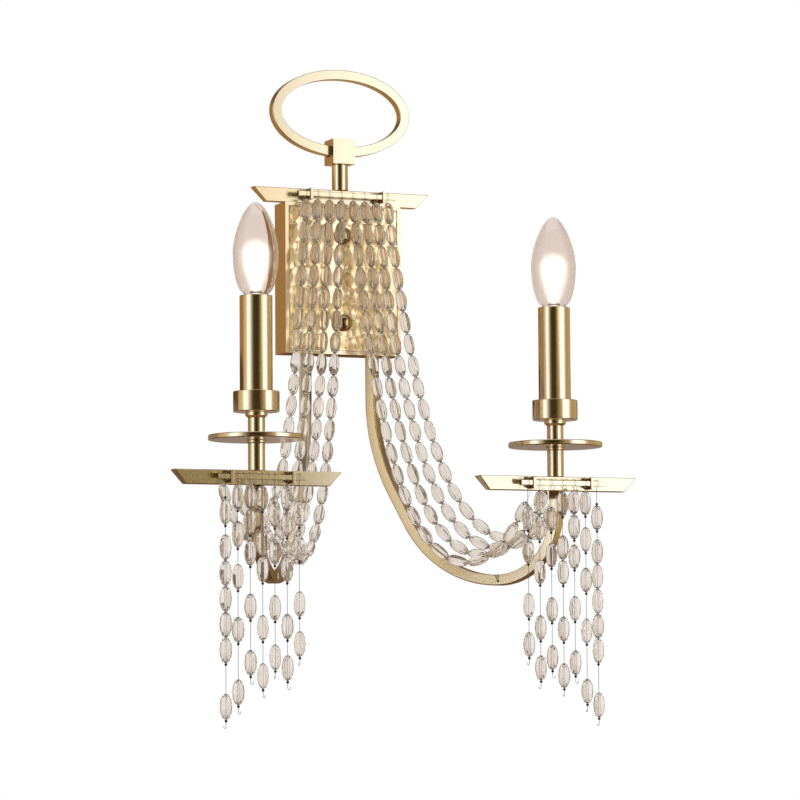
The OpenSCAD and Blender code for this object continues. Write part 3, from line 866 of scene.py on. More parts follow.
def tie(piece: bpy.types.Object, finish: Finish, body: str, *nodes: str) -> bpy.types.Object:
    """Links a new object, gives it its finish and body, hides the CAD nodes that it replaces, and reports it.

    Args:
        piece: the object.
        finish: its finish.
        body: the CAD body that it moves with.
        nodes: the CAD nodes that it stands for.

    Returns:
        The same object.
    """
    bpy.context.scene.collection.objects.link(piece)
    piece.data.materials.clear()
    piece.data.materials.append(finish.material())
    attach(piece, body)
    if nodes:
        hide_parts(*nodes)
    log.info("%s: %d faces, %s, on %s", piece.name, len(piece.data.polygons), finish.name, body)
    return piece


def keep_node(node: str, finish: Finish) -> None:
    """Gives a CAD node that stays its finish.

    Args:
        node: the CAD node.
        finish: its finish.
    """
    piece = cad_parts[node]
    piece.data.materials.clear()
    piece.data.materials.append(finish.material())
    log.info("%s: kept, %s", node, finish.name)


def softened_copy(node: str, finish: Finish, body: str, edge: float) -> bpy.types.Object:
    """Copies a CAD node with its points merged and its flat faces whole, and rounds its sharp edges.

    Args:
        node: the CAD node.
        finish: the copy's finish.
        body: the CAD body that it moves with.
        edge: radius of its edges in millimetres.

    Returns:
        The copy, which replaces the node.
    """
    mesh = bpy.data.meshes.new(f"{node}_softened")
    work = bmesh.new()
    work.from_mesh(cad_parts[node].data)
    bmesh.ops.remove_doubles(work, verts=work.verts, dist=0.002 * MM)
    bmesh.ops.dissolve_limit(work, angle_limit=math.radians(0.5), verts=work.verts, edges=work.edges)
    for face in work.faces:
        face.smooth = True
    work.to_mesh(mesh)
    work.free()
    mesh.set_sharp_from_angle(angle=math.radians(30))
    piece = tie(bpy.data.objects.new(f"{node}_softened", mesh), finish, body, node)
    bevel = piece.modifiers.new("rounded edges", "BEVEL")
    bevel.width, bevel.segments = edge * MM, 2
    bevel.limit_method, bevel.angle_limit = "ANGLE", math.radians(40)
    bevel.harden_normals = True
    return piece


@dataclass(frozen=True)
class CandleSizes:
    """Places that the two candle groups share with the frame, in millimetres.

    Args:
        x: distance of a candle from the middle.
        y: distance of a candle from the wall.
        bar_top: height of the candle bar's top.
        bar_height: height of the candle bar.
        rail_gap: distance of a rail's middle line from the candle bar's.
        rail_drop: depth of a rail's middle line under the candle bar's top.
    """

    x: float = 125.0
    y: float = 150.0
    bar_top: float = -164.0
    bar_height: float = 11.0
    rail_gap: float = 11.5
    rail_drop: float = 5.5

    @property
    def rail_z(self) -> float:
        """Height of the rails' middle lines."""
        return self.bar_top - self.rail_drop


CANDLE = CandleSizes()


@dataclass(frozen=True)
class RailSet:
    """Square rod on two posts beside a bar.

    Args:
        half_length: half of the rod's length.
        post_x: distance of each post from the middle.
        gap: distance of the rod's middle line from the bar's.
        rod: thickness of the rod.
        post: thickness of a post.
        post_height: height of a post.
        lip: how far a post reaches past the rod.
        root: how far from the bar's middle line a post begins, inside the bar.
    """

    half_length: float
    post_x: float
    gap: float
    rod: float = 4.0
    post: float = 2.3
    post_height: float = 9.0
    lip: float = 1.0
    root: float = 3.0

    def surface(self, way: int) -> Surface:
        """Rod and posts with the rod's middle line at z = 0.

        Args:
            way: -1 for a rail in front of the bar, 1 for one behind it.

        Returns:
            The joined surface, with the bar's middle line at y = 0.
        """
        half, reach = self.rod / 2, self.gap + self.rod / 2 + self.lip
        near, far = sorted((way * self.root, way * reach))
        rod_y = sorted((way * (self.gap - half), way * (self.gap + half)))
        parts = [rounded_box((-self.half_length, rod_y[0], -half), (self.half_length, rod_y[1], half), 0.35)]
        for x in (-self.post_x, self.post_x):
            parts.append(rounded_box((x - self.post / 2, near, -self.post_height / 2),
                                     (x + self.post / 2, far, self.post_height / 2), 0.3))
        return Surface.joined(parts)


@dataclass(frozen=True)
class Backplate:
    """Folded pan, hammered sheet, cap nuts and the hidden fixings behind them.

    Args:
        width: width of the pan.
        height: height of the pan.
        rim: width of its raised rim.
        sheet_back: distance of the hammered sheet's back from the wall.
        sheet_low: distance of its deepest creases from the wall.
        sheet_front: distance of its highest marks from the wall.
        nut_radius: radius of a cap nut.
        nut_seat: distance of the cap nuts' seats from the wall.
        nut_z: distance of each cap nut from the middle.
        nut_foot: outline of its grooved foot, as depths inside its radius and heights.
        nut_lift: height where its dome begins.
        mark_pitch: distance between hammered domes.
        curve: radius of curvature of a dome.
        crease: how sharp the creases between domes are.
        stray: how far a dome strays from its place in the rows.
        rise: how much higher one dome may be than another.
        edge_gap: gap between the sheet and the rim.
        sheet_points: points across and up the sheet.
        seed: seed of the marks' places.
    """

    width: float = 100.0
    height: float = 121.0
    rim: float = 3.0
    sheet_back: float = 21.3
    sheet_low: float = 21.75
    sheet_front: float = 23.0
    nut_radius: float = 7.0
    nut_seat: float = 22.0
    nut_z: float = 35.0
    nut_foot: tuple[tuple[float, float], ...] = ((0.9, 0.0), (0.5, 0.15), (0.5, 0.8), (0.15, 0.95))
    nut_lift: float = 1.2
    mark_pitch: float = 12.8
    curve: float = 24.0
    crease: float = 9.0
    stray: float = 2.2
    rise: float = 0.35
    edge_gap: float = 0.1
    sheet_points: tuple[int, int] = (150, 184)
    seed: int = 11

    def hammered_sheet(self) -> Surface:
        """Sheet whose front rises in round domes that meet in soft creases.

        A dome has the height rise - d^2 / (2 curve) at distance d from its middle. The sheet's height is
        ln(sum of exp(k height)) / k over the domes, scaled to run from the sheet's low level to its front.

        Returns:
            The closed sheet.
        """
        rng = np.random.default_rng(self.seed)
        halves = (size / 2 - self.rim - self.edge_gap for size in (self.width, self.height))
        x, z = np.meshgrid(*(np.linspace(-half, half, count) for half, count in zip(halves, self.sheet_points)))
        across, down = int(self.width / self.mark_pitch) + 2, int(self.height / self.mark_pitch) + 2
        mark_x, mark_z = np.meshgrid(np.arange(across) - (across - 1) / 2.0, np.arange(down) - (down - 1) / 2.0)
        mark_x = (mark_x + 0.5 * (np.arange(down) % 2)[:, None]) * self.mark_pitch
        mark_z = mark_z * self.mark_pitch
        mark_x = (mark_x + rng.uniform(-self.stray, self.stray, mark_x.shape)).ravel()
        mark_z = (mark_z + rng.uniform(-self.stray, self.stray, mark_z.shape)).ravel()
        rise = rng.uniform(0.0, self.rise, len(mark_x))
        far2 = (x[..., None] - mark_x) ** 2 + (z[..., None] - mark_z) ** 2
        bumps = np.log(np.exp(self.crease * (rise - far2 / (2 * self.curve))).sum(-1)) / self.crease
        bumps = (bumps - bumps.min()) / (bumps.max() - bumps.min())
        front = np.stack([x, -(self.sheet_low + (self.sheet_front - self.sheet_low) * bumps), z], -1)
        rows, cols = x.shape
        number = np.arange(rows * cols).reshape(rows, cols)
        rim = np.concatenate([number[0, :-1], number[:-1, -1], number[-1, :0:-1], number[:0:-1, 0]])
        flat = front.reshape(-1, 3)
        back = flat[rim] * [1, 0, 1] + [0, -self.sheet_back, 0]
        behind = rows * cols + np.arange(len(rim))
        skirt = np.stack([np.roll(rim, -1), rim, behind, np.roll(behind, -1)], -1)
        faces = [cells(number, closed=False), skirt, behind[None, ::-1]]
        return Surface(np.concatenate([flat, back]), faces).outward()

    def cap_nut(self) -> Surface:
        """Cap nut on its seat, its axis along Y: a dome over a short foot with a fine groove.

        The dome has radius r cos f and height lift + (r - lift) sin f, for f from 0 to 88 degrees.

        Returns:
            The closed nut.
        """
        r, lift = self.nut_radius, self.nut_lift
        turn = np.radians(np.linspace(0, 88, 18))
        dome = np.stack([r * np.cos(turn), lift + (r - lift) * np.sin(turn)], 1)
        foot = np.array(self.nut_foot) * [-1, 1] + [r, 0]
        upright = turned(np.concatenate([foot, dome]), 48, bored=False)
        return Surface(upright.points[:, [0, 2, 1]] * [1, -1, 1], upright.faces).outward().moved(y=-self.nut_seat)

    def build(self) -> None:
        """Builds and dresses every piece of the backplate."""
        softened_copy("backplate", GOLD, "frame", 0.3)
        place(self.hammered_sheet(), "hammered_sheet", HAMMERED, "frame", "hammered_panel")
        nut = self.cap_nut()
        place(Surface.joined([nut.moved(z=-self.nut_z), nut.moved(z=self.nut_z)]), "ball_nuts", BRIGHT_GOLD, "frame",
              "cap_nuts")
        softened_copy("wall_bracket", ZINC, "frame", 0.3)
        softened_copy("terminal_block", PLASTIC, "frame", 0.25)
        keep_node("fixing_studs", THREAD_Y)
        keep_node("tie_rod", THREAD_Z)


@dataclass(frozen=True)
class Crown:
    """Top bar with its rail, stem, block and oval ring.

    Args:
        y: distance of the stack's middle from the wall.
        bar: shape of the top bar.
        bar_foot: height of its foot.
        stem_radius: radius of the stem.
        stem_bore: radius of its hole.
        stem_height: height of the stem.
        ring_z: height of the ring's middle.
        ring_half: half of the ring's width and height.
        ring_bar: thickness of the ring's bar.
        rail: the rail in front of the top bar.
        rail_z: height of its middle line.
    """

    y: float = 16.5
    bar: SlantedBar = SlantedBar(152.0, 11.5, 8.5, 6.5, 11.0)
    bar_foot: float = 60.5
    stem_radius: float = 6.5
    stem_bore: float = 2.3
    stem_height: float = 21.0
    ring_z: float = 134.6
    ring_half: tuple[float, float] = (59.5, 35.2)
    ring_bar: float = 7.9
    rail: RailSet = RailSet(42.26, 31.26, 14.25, root=2.5)
    rail_z: float = 66.5

    def ring(self) -> Surface:
        """Oval bar: the section is carried round the ellipse half way between its outer and inner edges.

        Section point (p, q) at angle f lies at middle(f) + p (outer(f) - inner(f)) / bar, and q along Y.

        Returns:
            The closed ring.
        """
        section = square(self.ring_bar, 0.55, 4)
        turn = np.linspace(0, 2 * np.pi, 192, endpoint=False)
        way = np.stack([np.cos(turn), np.zeros_like(turn), np.sin(turn)], 1)
        a, b = self.ring_half
        outer = way * [a, 1, b]
        inner = way * [a - self.ring_bar, 1, b - self.ring_bar]
        middle, across = (outer + inner) / 2, (outer - inner) / self.ring_bar
        rings = middle[:, None] + section[None, :, :1] * across[:, None] + section[None, :, 1:] * [0, 1, 0]
        return Surface.grid(rings, loop_rows=True).moved(y=-self.y, z=self.ring_z)

    def stem(self) -> Surface:
        """Turned tube between the bar and the block, with a fine chamfer at both ends."""
        tube = turned_tube(self.stem_bore, self.stem_radius, 0.0, self.stem_height, 0.35)
        return tube.moved(y=-self.y, z=self.bar_foot + self.bar.height)

    def build(self) -> None:
        """Builds and dresses the bar, rail, stem, block and ring."""
        place(self.bar.surface().moved(y=-self.y, z=self.bar_foot), "top_bar_solid", GOLD, "frame", "top_bar")
        place(self.rail.surface(-1).moved(y=-self.y, z=self.rail_z), "top_rail_rod", GOLD, "frame", "top_rail")
        place(self.stem(), "top_stem_tube", GOLD, "frame", "top_stem")
        softened_copy("ring_block", GOLD, "frame", 0.45)
        place(self.ring(), "oval_ring", GOLD, "frame", "ring")


@dataclass(frozen=True)
class Arm:
    """Square tube from the pan's floor down and out to the candle bar.

    Args:
        side: left or right.
        width: width of the tube.
        bore: width of its hole.
        root: where its middle line enters the pan, as distances from the middle and from the wall.
        top: height of its upper end.
        lead: height where the long upper bend begins.
        lead_radius: radius of that bend.
        slant: angle that it turns through, in degrees.
        slant_length: length of the straight run after it.
        belly_radius: radius of the bend at the bottom.
        end_radius: radius of the bend under the candle bar.
        low: height of its lowest run.
    """

    side: Side
    width: float = 8.5
    bore: float = 6.4
    root: tuple[float, float] = (29.0, 12.0)
    top: float = -52.5
    lead: float = -95.0
    lead_radius: float = 150.0
    slant: float = 30.0
    slant_length: float = 29.43
    belly_radius: float = 95.03
    end_radius: float = 51.0
    low: float = -243.0

    def path(self) -> Array:
        """Middle line in the arm's own plane, as distances along the plan line and heights.

        It runs straight down, round a bend of the lead radius, along the slant, and round two quarter bends
        whose middles lie at right angles to the line where they begin.

        Returns:
            Points of the middle line, one row each.
        """
        run = math.hypot(CANDLE.x - self.root[0], CANDLE.y - self.root[1])
        lean = math.radians(self.slant)
        lead_middle = np.array([self.lead_radius, self.lead])
        slant_start = lead_middle - self.lead_radius * np.array([math.cos(lean), math.sin(lean)])
        slant_end = slant_start + self.slant_length * np.array([math.sin(lean), -math.cos(lean)])
        belly_middle = slant_end + self.belly_radius * np.array([math.cos(lean), math.sin(lean)])
        end_middle = np.array([run - self.end_radius, self.end_radius + self.low])

        def bend(middle: Array, radius: float, start: float, end: float, steps: int) -> Array:
            """Points on an arc from one angle to another, in degrees."""
            turn = np.radians(np.linspace(start, end, steps + 1))
            return middle + radius * np.stack([np.cos(turn), np.sin(turn)], 1)

        return np.concatenate([
            np.stack([np.zeros(6), np.linspace(self.top, self.lead + 1, 6)], 1),
            bend(lead_middle, self.lead_radius, 180, 180 + self.slant, 20),
            bend(belly_middle, self.belly_radius, 180 + self.slant, 270, 36),
            bend(end_middle, self.end_radius, 270, 360, 36),
            np.stack([np.full(3, run), np.linspace(end_middle[1] + 1, CANDLE.bar_top - CANDLE.bar_height, 3)], 1)])

    def surface(self) -> Surface:
        """Hollow square tube with rounded edges along the path.

        Returns:
            The tube of the arm's side.
        """
        plan = unit(np.array([CANDLE.x - self.root[0], -(CANDLE.y - self.root[1]), 0.0]))
        flat = self.path()
        line = np.array([self.root[0], -self.root[1], 0.0]) + flat[:, :1] * plan + flat[:, 1:] * [0, 0, 1]
        tube = swept(square(self.width, 0.8), line, np.cross(plan, [0, 0, 1]), square(self.bore, 0.4))
        return tube if self.side is Side.RIGHT else tube.mirrored()

    def build(self) -> None:
        """Builds and dresses the arm."""
        place(self.surface(), f"{self.side.word}_arm_tube", GOLD, "frame", f"{self.side.word}_arm")


@dataclass(frozen=True)
class Candle:
    """Candle bar, rails, stems, drip disc, cup and sleeve of one side.

    Args:
        side: left or right.
        bar: shape of the candle bar.
        front_rail: the rail that the hanging strands are on.
        rear_rail: the rail that the draped strands end on.
        bore: radius of the hole through the stack.
        stem_radius: radius of the stems.
        disc_z: height of the drip disc's underside.
        disc_radius: radius of the disc.
        disc_thick: its thickness.
        collar_z: height of the collar's foot.
        collar_radius: radius of the collar.
        flare: height of the collar's flared foot.
        washer: depths under the disc where the lower stem ends and where a thin washer begins and ends.
        washer_lip: how far the washer stands out round the stem.
        cup_z: height of the cup's underside.
        cup_radius: radius of the cup.
        cup_height: its height.
        cup_wall: its wall.
        sleeve_radius: radius of the sleeve.
        sleeve_wall: its wall.
        sleeve_top: height of its upper end.
    """

    side: Side
    bar: SlantedBar = SlantedBar(135.0, 11.0, 11.0, 8.0, 9.3)
    front_rail: RailSet = RailSet(35.75, 24.75, 11.5)
    rear_rail: RailSet = RailSet(37.8, 26.8, 11.5)
    bore: float = 3.1
    stem_radius: float = 6.5
    disc_z: float = -141.0
    disc_radius: float = 36.65
    disc_thick: float = 4.0
    collar_z: float = -124.0
    collar_radius: float = 8.5
    flare: float = 1.5
    washer: tuple[float, float, float] = (2.2, 2.1, 0.05)
    washer_lip: float = 0.9
    cup_z: float = -119.8
    cup_radius: float = 17.6
    cup_height: float = 15.7
    cup_wall: float = 1.4
    sleeve_radius: float = 12.5
    sleeve_wall: float = 0.8
    sleeve_top: float = -31.4

    def stems(self) -> Surface:
        """Lower and upper stem, with a thin washer under the disc.

        Returns:
            The three turned rings as one surface.
        """
        stem_top, washer_low, washer_top = (self.disc_z - depth for depth in self.washer)
        return Surface.joined([
            turned_tube(self.bore, self.stem_radius, CANDLE.bar_top, stem_top),
            turned_tube(self.bore, self.stem_radius + self.washer_lip, washer_low, washer_top),
            turned_tube(self.bore, self.stem_radius, self.disc_z + self.disc_thick, self.collar_z)])

    def disc(self) -> Surface:
        """Flat drip disc with rounded edges."""
        return turned_tube(self.bore, self.disc_radius, self.disc_z, self.disc_z + self.disc_thick,
                           np.array([0.2, 0.9, 0.9, 0.2]), 4, 128)

    def cup(self) -> Surface:
        """Low cup on a flared collar, turned in one piece.

        Returns:
            The turned cup.
        """
        foot, floor, top = self.cup_z, self.cup_z + self.cup_wall, self.cup_z + self.cup_height
        inner = self.cup_radius - self.cup_wall
        corners = np.array([
            [self.bore, self.collar_z], [self.stem_radius, self.collar_z],
            [self.collar_radius, self.collar_z + self.flare], [self.collar_radius, foot], [self.cup_radius, foot],
            [self.cup_radius, top], [inner, top], [inner, floor], [self.bore, floor]])
        edges = np.array([0.1, 0.3, 0.5, 0.3, 0.9, 0.5, 0.5, 0.5, 0.1])
        return turned(rounded_outline(corners, edges, 4), 96)

    def sleeve(self) -> Surface:
        """Plain metal tube that stands in the cup."""
        r = self.sleeve_radius
        return turned_tube(r - self.sleeve_wall, r, self.cup_z + self.cup_wall, self.sleeve_top, 0.3, 3, 96)

    def build(self) -> None:
        """Builds and dresses the candle's metal pieces."""
        x, y, word = self.side.value * CANDLE.x, -CANDLE.y, self.side.word

        def stand(surface: Surface, label: str, *nodes: str, z: float = 0.0) -> None:
            """Places a piece of the frame on the candle's axis."""
            place(surface.moved(x, y, z), f"{word}_{label}", GOLD, "frame", *(f"{word}_{n}" for n in nodes))

        stand(self.bar.surface(), "candle_bar_solid", "candle_bar", z=CANDLE.bar_top - CANDLE.bar_height)
        stand(self.front_rail.surface(-1), "front_rail_rod", "front_rail", z=CANDLE.rail_z)
        stand(self.rear_rail.surface(1), "rear_rail_rod", "rear_rail", z=CANDLE.rail_z)
        stand(self.stems(), "turned_stems", "stems")
        stand(self.disc(), "turned_disc", "drip_disc")
        stand(self.cup(), "turned_cup", "cup")
        stand(self.sleeve(), "candle_tube", "sleeve")
        keep_node(f"{word}_nipple", THREAD_Z)
        keep_node(f"{word}_lampholder", PLASTIC)


@dataclass(frozen=True)
class CandleBulb:
    """Clear candle bulb with its lit filament.

    Args:
        side: left or right.
        foot: height of the glass's foot.
        radius: radius of the glass.
        height: height of the glass.
        wall: its wall.
        outline: half outline of the glass, as shares of its radius and height.
        stem_outline: half outline of the glass stem, as radius and height over the glass's foot.
        halo_outline: half outline of the drop of light, likewise.
        lead: points of a lead wire, as distances from the axis and heights.
        lead_wire: diameter of a lead wire.
        arch: half span, foot height and rise of the arch that the filament follows.
        coil: radius, number of turns and wire diameter of the filament.
    """

    side: Side
    foot: float = -31.1
    radius: float = 17.5
    height: float = 71.0
    wall: float = 0.9
    outline: tuple[tuple[float, float], ...] = (
        (0.48, 0), (0.60, 0.03), (0.73, 0.07), (0.83, 0.13), (0.91, 0.21), (0.965, 0.3), (1, 0.44), (0.98, 0.52),
        (0.93, 0.6), (0.85, 0.68), (0.74, 0.76), (0.61, 0.84), (0.5, 0.89), (0.38, 0.935), (0.23, 0.975),
        (0.1, 0.994), (0.02, 0.999))
    stem_outline: tuple[tuple[float, float], ...] = (
        (5.6, 0.3), (5.0, 2.0), (3.4, 5.0), (2.3, 10.0), (2.0, 18.0), (1.9, 22.0), (1.0, 23.0))
    halo_outline: tuple[tuple[float, float], ...] = (
        (1.0, 1.2), (5.2, 2.0), (7.2, 6.0), (10.2, 13.0), (13.4, 21.0), (14.6, 29.0), (13.6, 36.5), (9.4, 42.5),
        (5.0, 44.8), (0.6, 45.8))
    lead: tuple[tuple[float, float], ...] = ((0.9, 21.5), (1.2, 24.0), (3.4, 27.0), (4.2, 29.0))
    lead_wire: float = 0.3
    arch: tuple[float, float, float] = (4.2, 29.0, 3.0)
    coil: tuple[float, int, float] = (0.55, 9, 0.32)

    def glass(self) -> Surface:
        """Shell of even wall: a smooth curve through the outline, and the same curve moved in by the wall.

        Returns:
            The shell, its outer skin joined to its inner one at the foot.
        """
        outer = smooth_curve(np.array(self.outline) * [self.radius, self.height], 6)
        along = unit(np.gradient(outer, axis=0))
        inner = outer + self.wall * np.stack([-along[:, 1], along[:, 0]], 1)
        inner = inner[(inner[:, 0] > 0.3) & (inner[:, 1] < self.height - self.wall)]
        inner[0, 1] = 0.0
        shell = np.concatenate([inner[::-1], outer])
        return turned(shell, 72, bored=False)

    def stem(self) -> Surface:
        """Glass stem: a flared foot that narrows to a rod."""
        return turned(smooth_curve(np.array(self.stem_outline), 4), 32, bored=False)

    def filament(self) -> Surface:
        """Small coil wound round an arch.

        The arch is (half cos a, 0, foot + rise sin a) for a from 0 to 180 degrees. The coil's middle line is
        the arch plus radius (cos w cos a, sin w, cos w sin a), where w is the angle wound so far.

        Returns:
            The coil, with closed ends.
        """
        (half, foot, rise), (radius, winds, wire) = self.arch, self.coil
        t = np.linspace(0, 1, 24 * winds + 1)
        cos, sin, wound = np.cos(np.pi * t), np.sin(np.pi * t), 2 * np.pi * winds * t
        arch = np.stack([half * cos, 0 * t, foot + rise * sin], 1)
        coil = arch + radius * np.stack([np.cos(wound) * cos, np.sin(wound), np.cos(wound) * sin], 1)
        along = unit(np.gradient(coil, axis=0))
        first = unit(np.cross(np.array([0.0, 1.0, 0.0]) + 1e-6, along))
        return Surface.grid(wire_rings(coil, wire, first, np.cross(along, first), 6), cap_ends=True)

    def leads(self) -> Surface:
        """Two lead wires from the stem's top to the filament's ends."""
        lines = [smooth_curve(np.array([(way * x, 0, z) for x, z in self.lead]), 5) for way in (-1, 1)]
        return Surface.joined([round_wire(line, self.lead_wire, np.array([0.0, 1.0, 0.0]), 6) for line in lines])

    def halo(self) -> Surface:
        """Drop of light round the filament and stem, widest at the filament."""
        return turned(smooth_curve(np.array(self.halo_outline), 5), 40, bored=False)

    def build(self) -> None:
        """Builds and dresses the bulb."""
        x, y, word = self.side.value * CANDLE.x, -CANDLE.y, self.side.word
        for surface, label, finish, node in (
                (self.glass(), "glass_shell", BULB_GLASS, "glass"), (self.stem(), "glass_stem", STEM_GLASS, "core"),
                (self.filament(), "filament", FILAMENT, "core"), (self.leads(), "lead_wires", NICKEL, "core"),
                (self.halo(), "halo", HALO, "core")):
            place(surface.moved(x, y, self.foot), f"{word}_{label}", finish, f"{word}_bulb", f"{word}_bulb_{node}")
        keep_node(f"{word}_bulb_cap", NICKEL)


# Strands


@dataclass(frozen=True)
class BeadShape:
    """Oval glass bead with lengthwise flutes.

    Args:
        diameter: largest diameter.
        length: length.
        end: radius of its ends.
        flutes: number of ridges.
        depth: share of the radius that a groove takes.
        fullness: power of the outline: 0.5 is an ellipse, and more is slimmer.
    """

    diameter: float
    length: float
    end: float = 0.9
    flutes: int = 8
    depth: float = 0.09
    fullness: float = 0.56

    def strung(self, middles: Array, axes: Array, across: Array, turns: Array) -> Surface:
        """Copies of the bead along a strand.

        The radius at share t of the half length is end + (d / 2 - end) (1 - t^2)^fullness, less in a groove.

        Args:
            middles: middles of the beads.
            axes: their axes.
            across: a direction square to every axis.
            turns: angle that each bead is turned by, in radians.

        Returns:
            The beads as one surface.
        """
        t = np.array([-1.0, -0.86, -0.5, 0.0, 0.5, 0.86, 1.0])
        radius = self.end + (self.diameter / 2 - self.end) * (1 - t ** 2) ** self.fullness
        cols = 2 * self.flutes
        groove = np.where(np.arange(cols) % 2, 1 - self.depth, 1.0)
        angle = np.linspace(0, 2 * np.pi, cols, endpoint=False)[None] + turns[:, None]
        ring = groove[None, :, None] * (np.cos(angle)[..., None] * across
                                        + np.sin(angle)[..., None] * np.cross(axes, across)[:, None])
        points = (middles[:, None, None] + radius[None, :, None, None] * ring[:, None]
                  + (t * self.length / 2)[None, :, None, None] * axes[:, None, None])
        number = np.arange(len(t) * cols).reshape(len(t), cols)
        caps = np.stack([number[0, ::-1], number[-1]])
        starts = (np.arange(len(middles)) * len(t) * cols)[:, None, None]
        return Surface(points.reshape(-1, 3),
                       [(part + starts).reshape(-1, part.shape[1]) for part in (cells(number), caps)]).outward()

    def sharpen(self, mesh: bpy.types.Mesh) -> None:
        """Marks the lengthwise edges as sharp: those whose ends lie one ring apart in the same column.

        Args:
            mesh: the mesh of a strand's beads.
        """
        ends = np.empty(2 * len(mesh.edges), np.int32)
        mesh.edges.foreach_get("vertices", ends)
        apart = np.abs(np.diff(ends.reshape(-1, 2), axis=1)[:, 0])
        mesh.edges.foreach_set("use_edge_sharp", apart == 2 * self.flutes)


@dataclass(frozen=True)
class StrandParts:
    """Wire parts that both kinds of strand use.

    Args:
        loop_radius: radius of the wire loop round a rail.
        wire: diameter of the wire.
        crimp: diameter of a crimp.
    """

    loop_radius: float = 3.33
    wire: float = 0.4
    crimp: float = 2.2

    def rail_loop(self, place_at: Array) -> Surface:
        """Closed loop round a rail, in the plane square to X.

        Args:
            place_at: middle of the rail.

        Returns:
            The loop.
        """
        turn = np.linspace(0, 2 * np.pi, 28, endpoint=False)
        outward = np.stack([0 * turn, np.cos(turn), np.sin(turn)], 1)
        rings = wire_rings(self.loop_radius * outward, self.wire, outward, np.array([[1.0, 0, 0]]), 8)
        return Surface.grid(rings, loop_rows=True).moved(*place_at)

    def pressed_ball(self, place_at: Array) -> Surface:
        """Crimp on the wire: a small ball, flat at its ends."""
        turn = np.radians(np.linspace(-75, 75, 7))
        return turned(self.crimp / 2 * np.stack([np.cos(turn), np.sin(turn)], 1), 12, bored=False).moved(*place_at)


@dataclass(frozen=True)
class HangingStrand:
    """Beads on a wire that hangs from a candle bar's front rail.

    Args:
        side: left or right.
        number: 1 nearest the middle to 7.
        depths: depth of each bead's middle under the rail.
        pitch: distance between strands.
        bead: shape of a bead.
        parts: wire parts.
        tail: length of the wire's end under the last bead.
        crimp_seat: distance of a crimp's middle from its bead's end.
        slack: gap between two beads past which the upper one needs a crimp.
        hook: half width and drop of the hook at the wire's end.
        crimped_above: number of the strand that also has a crimp over its first bead.
    """

    side: Side
    number: int
    depths: tuple[float, ...]
    pitch: float = 9.9
    bead: BeadShape = BeadShape(9.5, 19.0)
    parts: StrandParts = StrandParts()
    tail: float = 5.0
    crimp_seat: float = 1.15
    slack: float = 0.5
    hook: tuple[float, float] = (1.1, 1.4)
    crimped_above: int = 7

    def hooked_end(self, way: Array) -> Array:
        """Bent end of the wire: half width (1 - cos f) towards way and drop sin f down, for f up to 200 degrees.

        Args:
            way: level direction that the hook opens in.

        Returns:
            Points of the end, from the foot of the last crimp.
        """
        half, drop = self.hook
        turn = np.radians(np.linspace(0, 200, 14))
        return (np.outer(half * (1 - np.cos(turn)), way) - np.outer(drop * np.sin(turn), [0, 0, 1.0])
                - [0, 0, self.tail - 2.0])

    def build(self) -> None:
        """Builds the beads and the wire and dresses them."""
        rng = np.random.default_rng(100 * self.number + self.side.value)
        x = self.side.value * (CANDLE.x + (self.number - 4) * self.pitch)
        rail = np.array([x, -CANDLE.y - CANDLE.rail_gap, CANDLE.rail_z])
        depths = np.array(self.depths)
        middles = rail - depths[:, None] * [0, 0, 1]
        down = np.tile([0.0, 0.0, -1.0], (len(depths), 1))
        node = f"{self.side.word}_hanging_strand_{self.number}"
        beads = place(self.bead.strung(middles, down, np.array([1.0, 0, 0]), rng.uniform(0, np.pi, len(depths))),
                      f"{node}_beads", BEAD_GLASS, node, node)
        self.bead.sharpen(beads.data)
        seat = self.bead.length / 2 + self.crimp_seat
        loose = np.append(np.diff(depths) > self.bead.length + self.slack, True)
        crimps = [*(depths[loose] + seat)]
        if self.number == self.crimped_above:
            crimps.append(depths[0] - seat)
        end = depths[-1] + self.bead.length / 2 + self.parts.crimp
        lean = rng.uniform(0, 2 * np.pi)
        way = np.array([math.cos(lean), math.sin(lean), 0.0])
        line = np.concatenate([np.outer(np.linspace(self.parts.loop_radius, end, 12), [0, 0, -1.0]),
                               self.hooked_end(way) - [0, 0, end]])
        place(round_wire(rail + line, self.parts.wire, np.cross(way, [0, 0, 1.0])), f"{node}_wire", WIRE, node, node)
        place(self.parts.rail_loop(rail), f"{node}_loop", THREAD, node, node)
        place(Surface.joined([self.parts.pressed_ball(rail - [0, 0, d]) for d in crimps]), f"{node}_crimps", CRIMP,
              node, node)


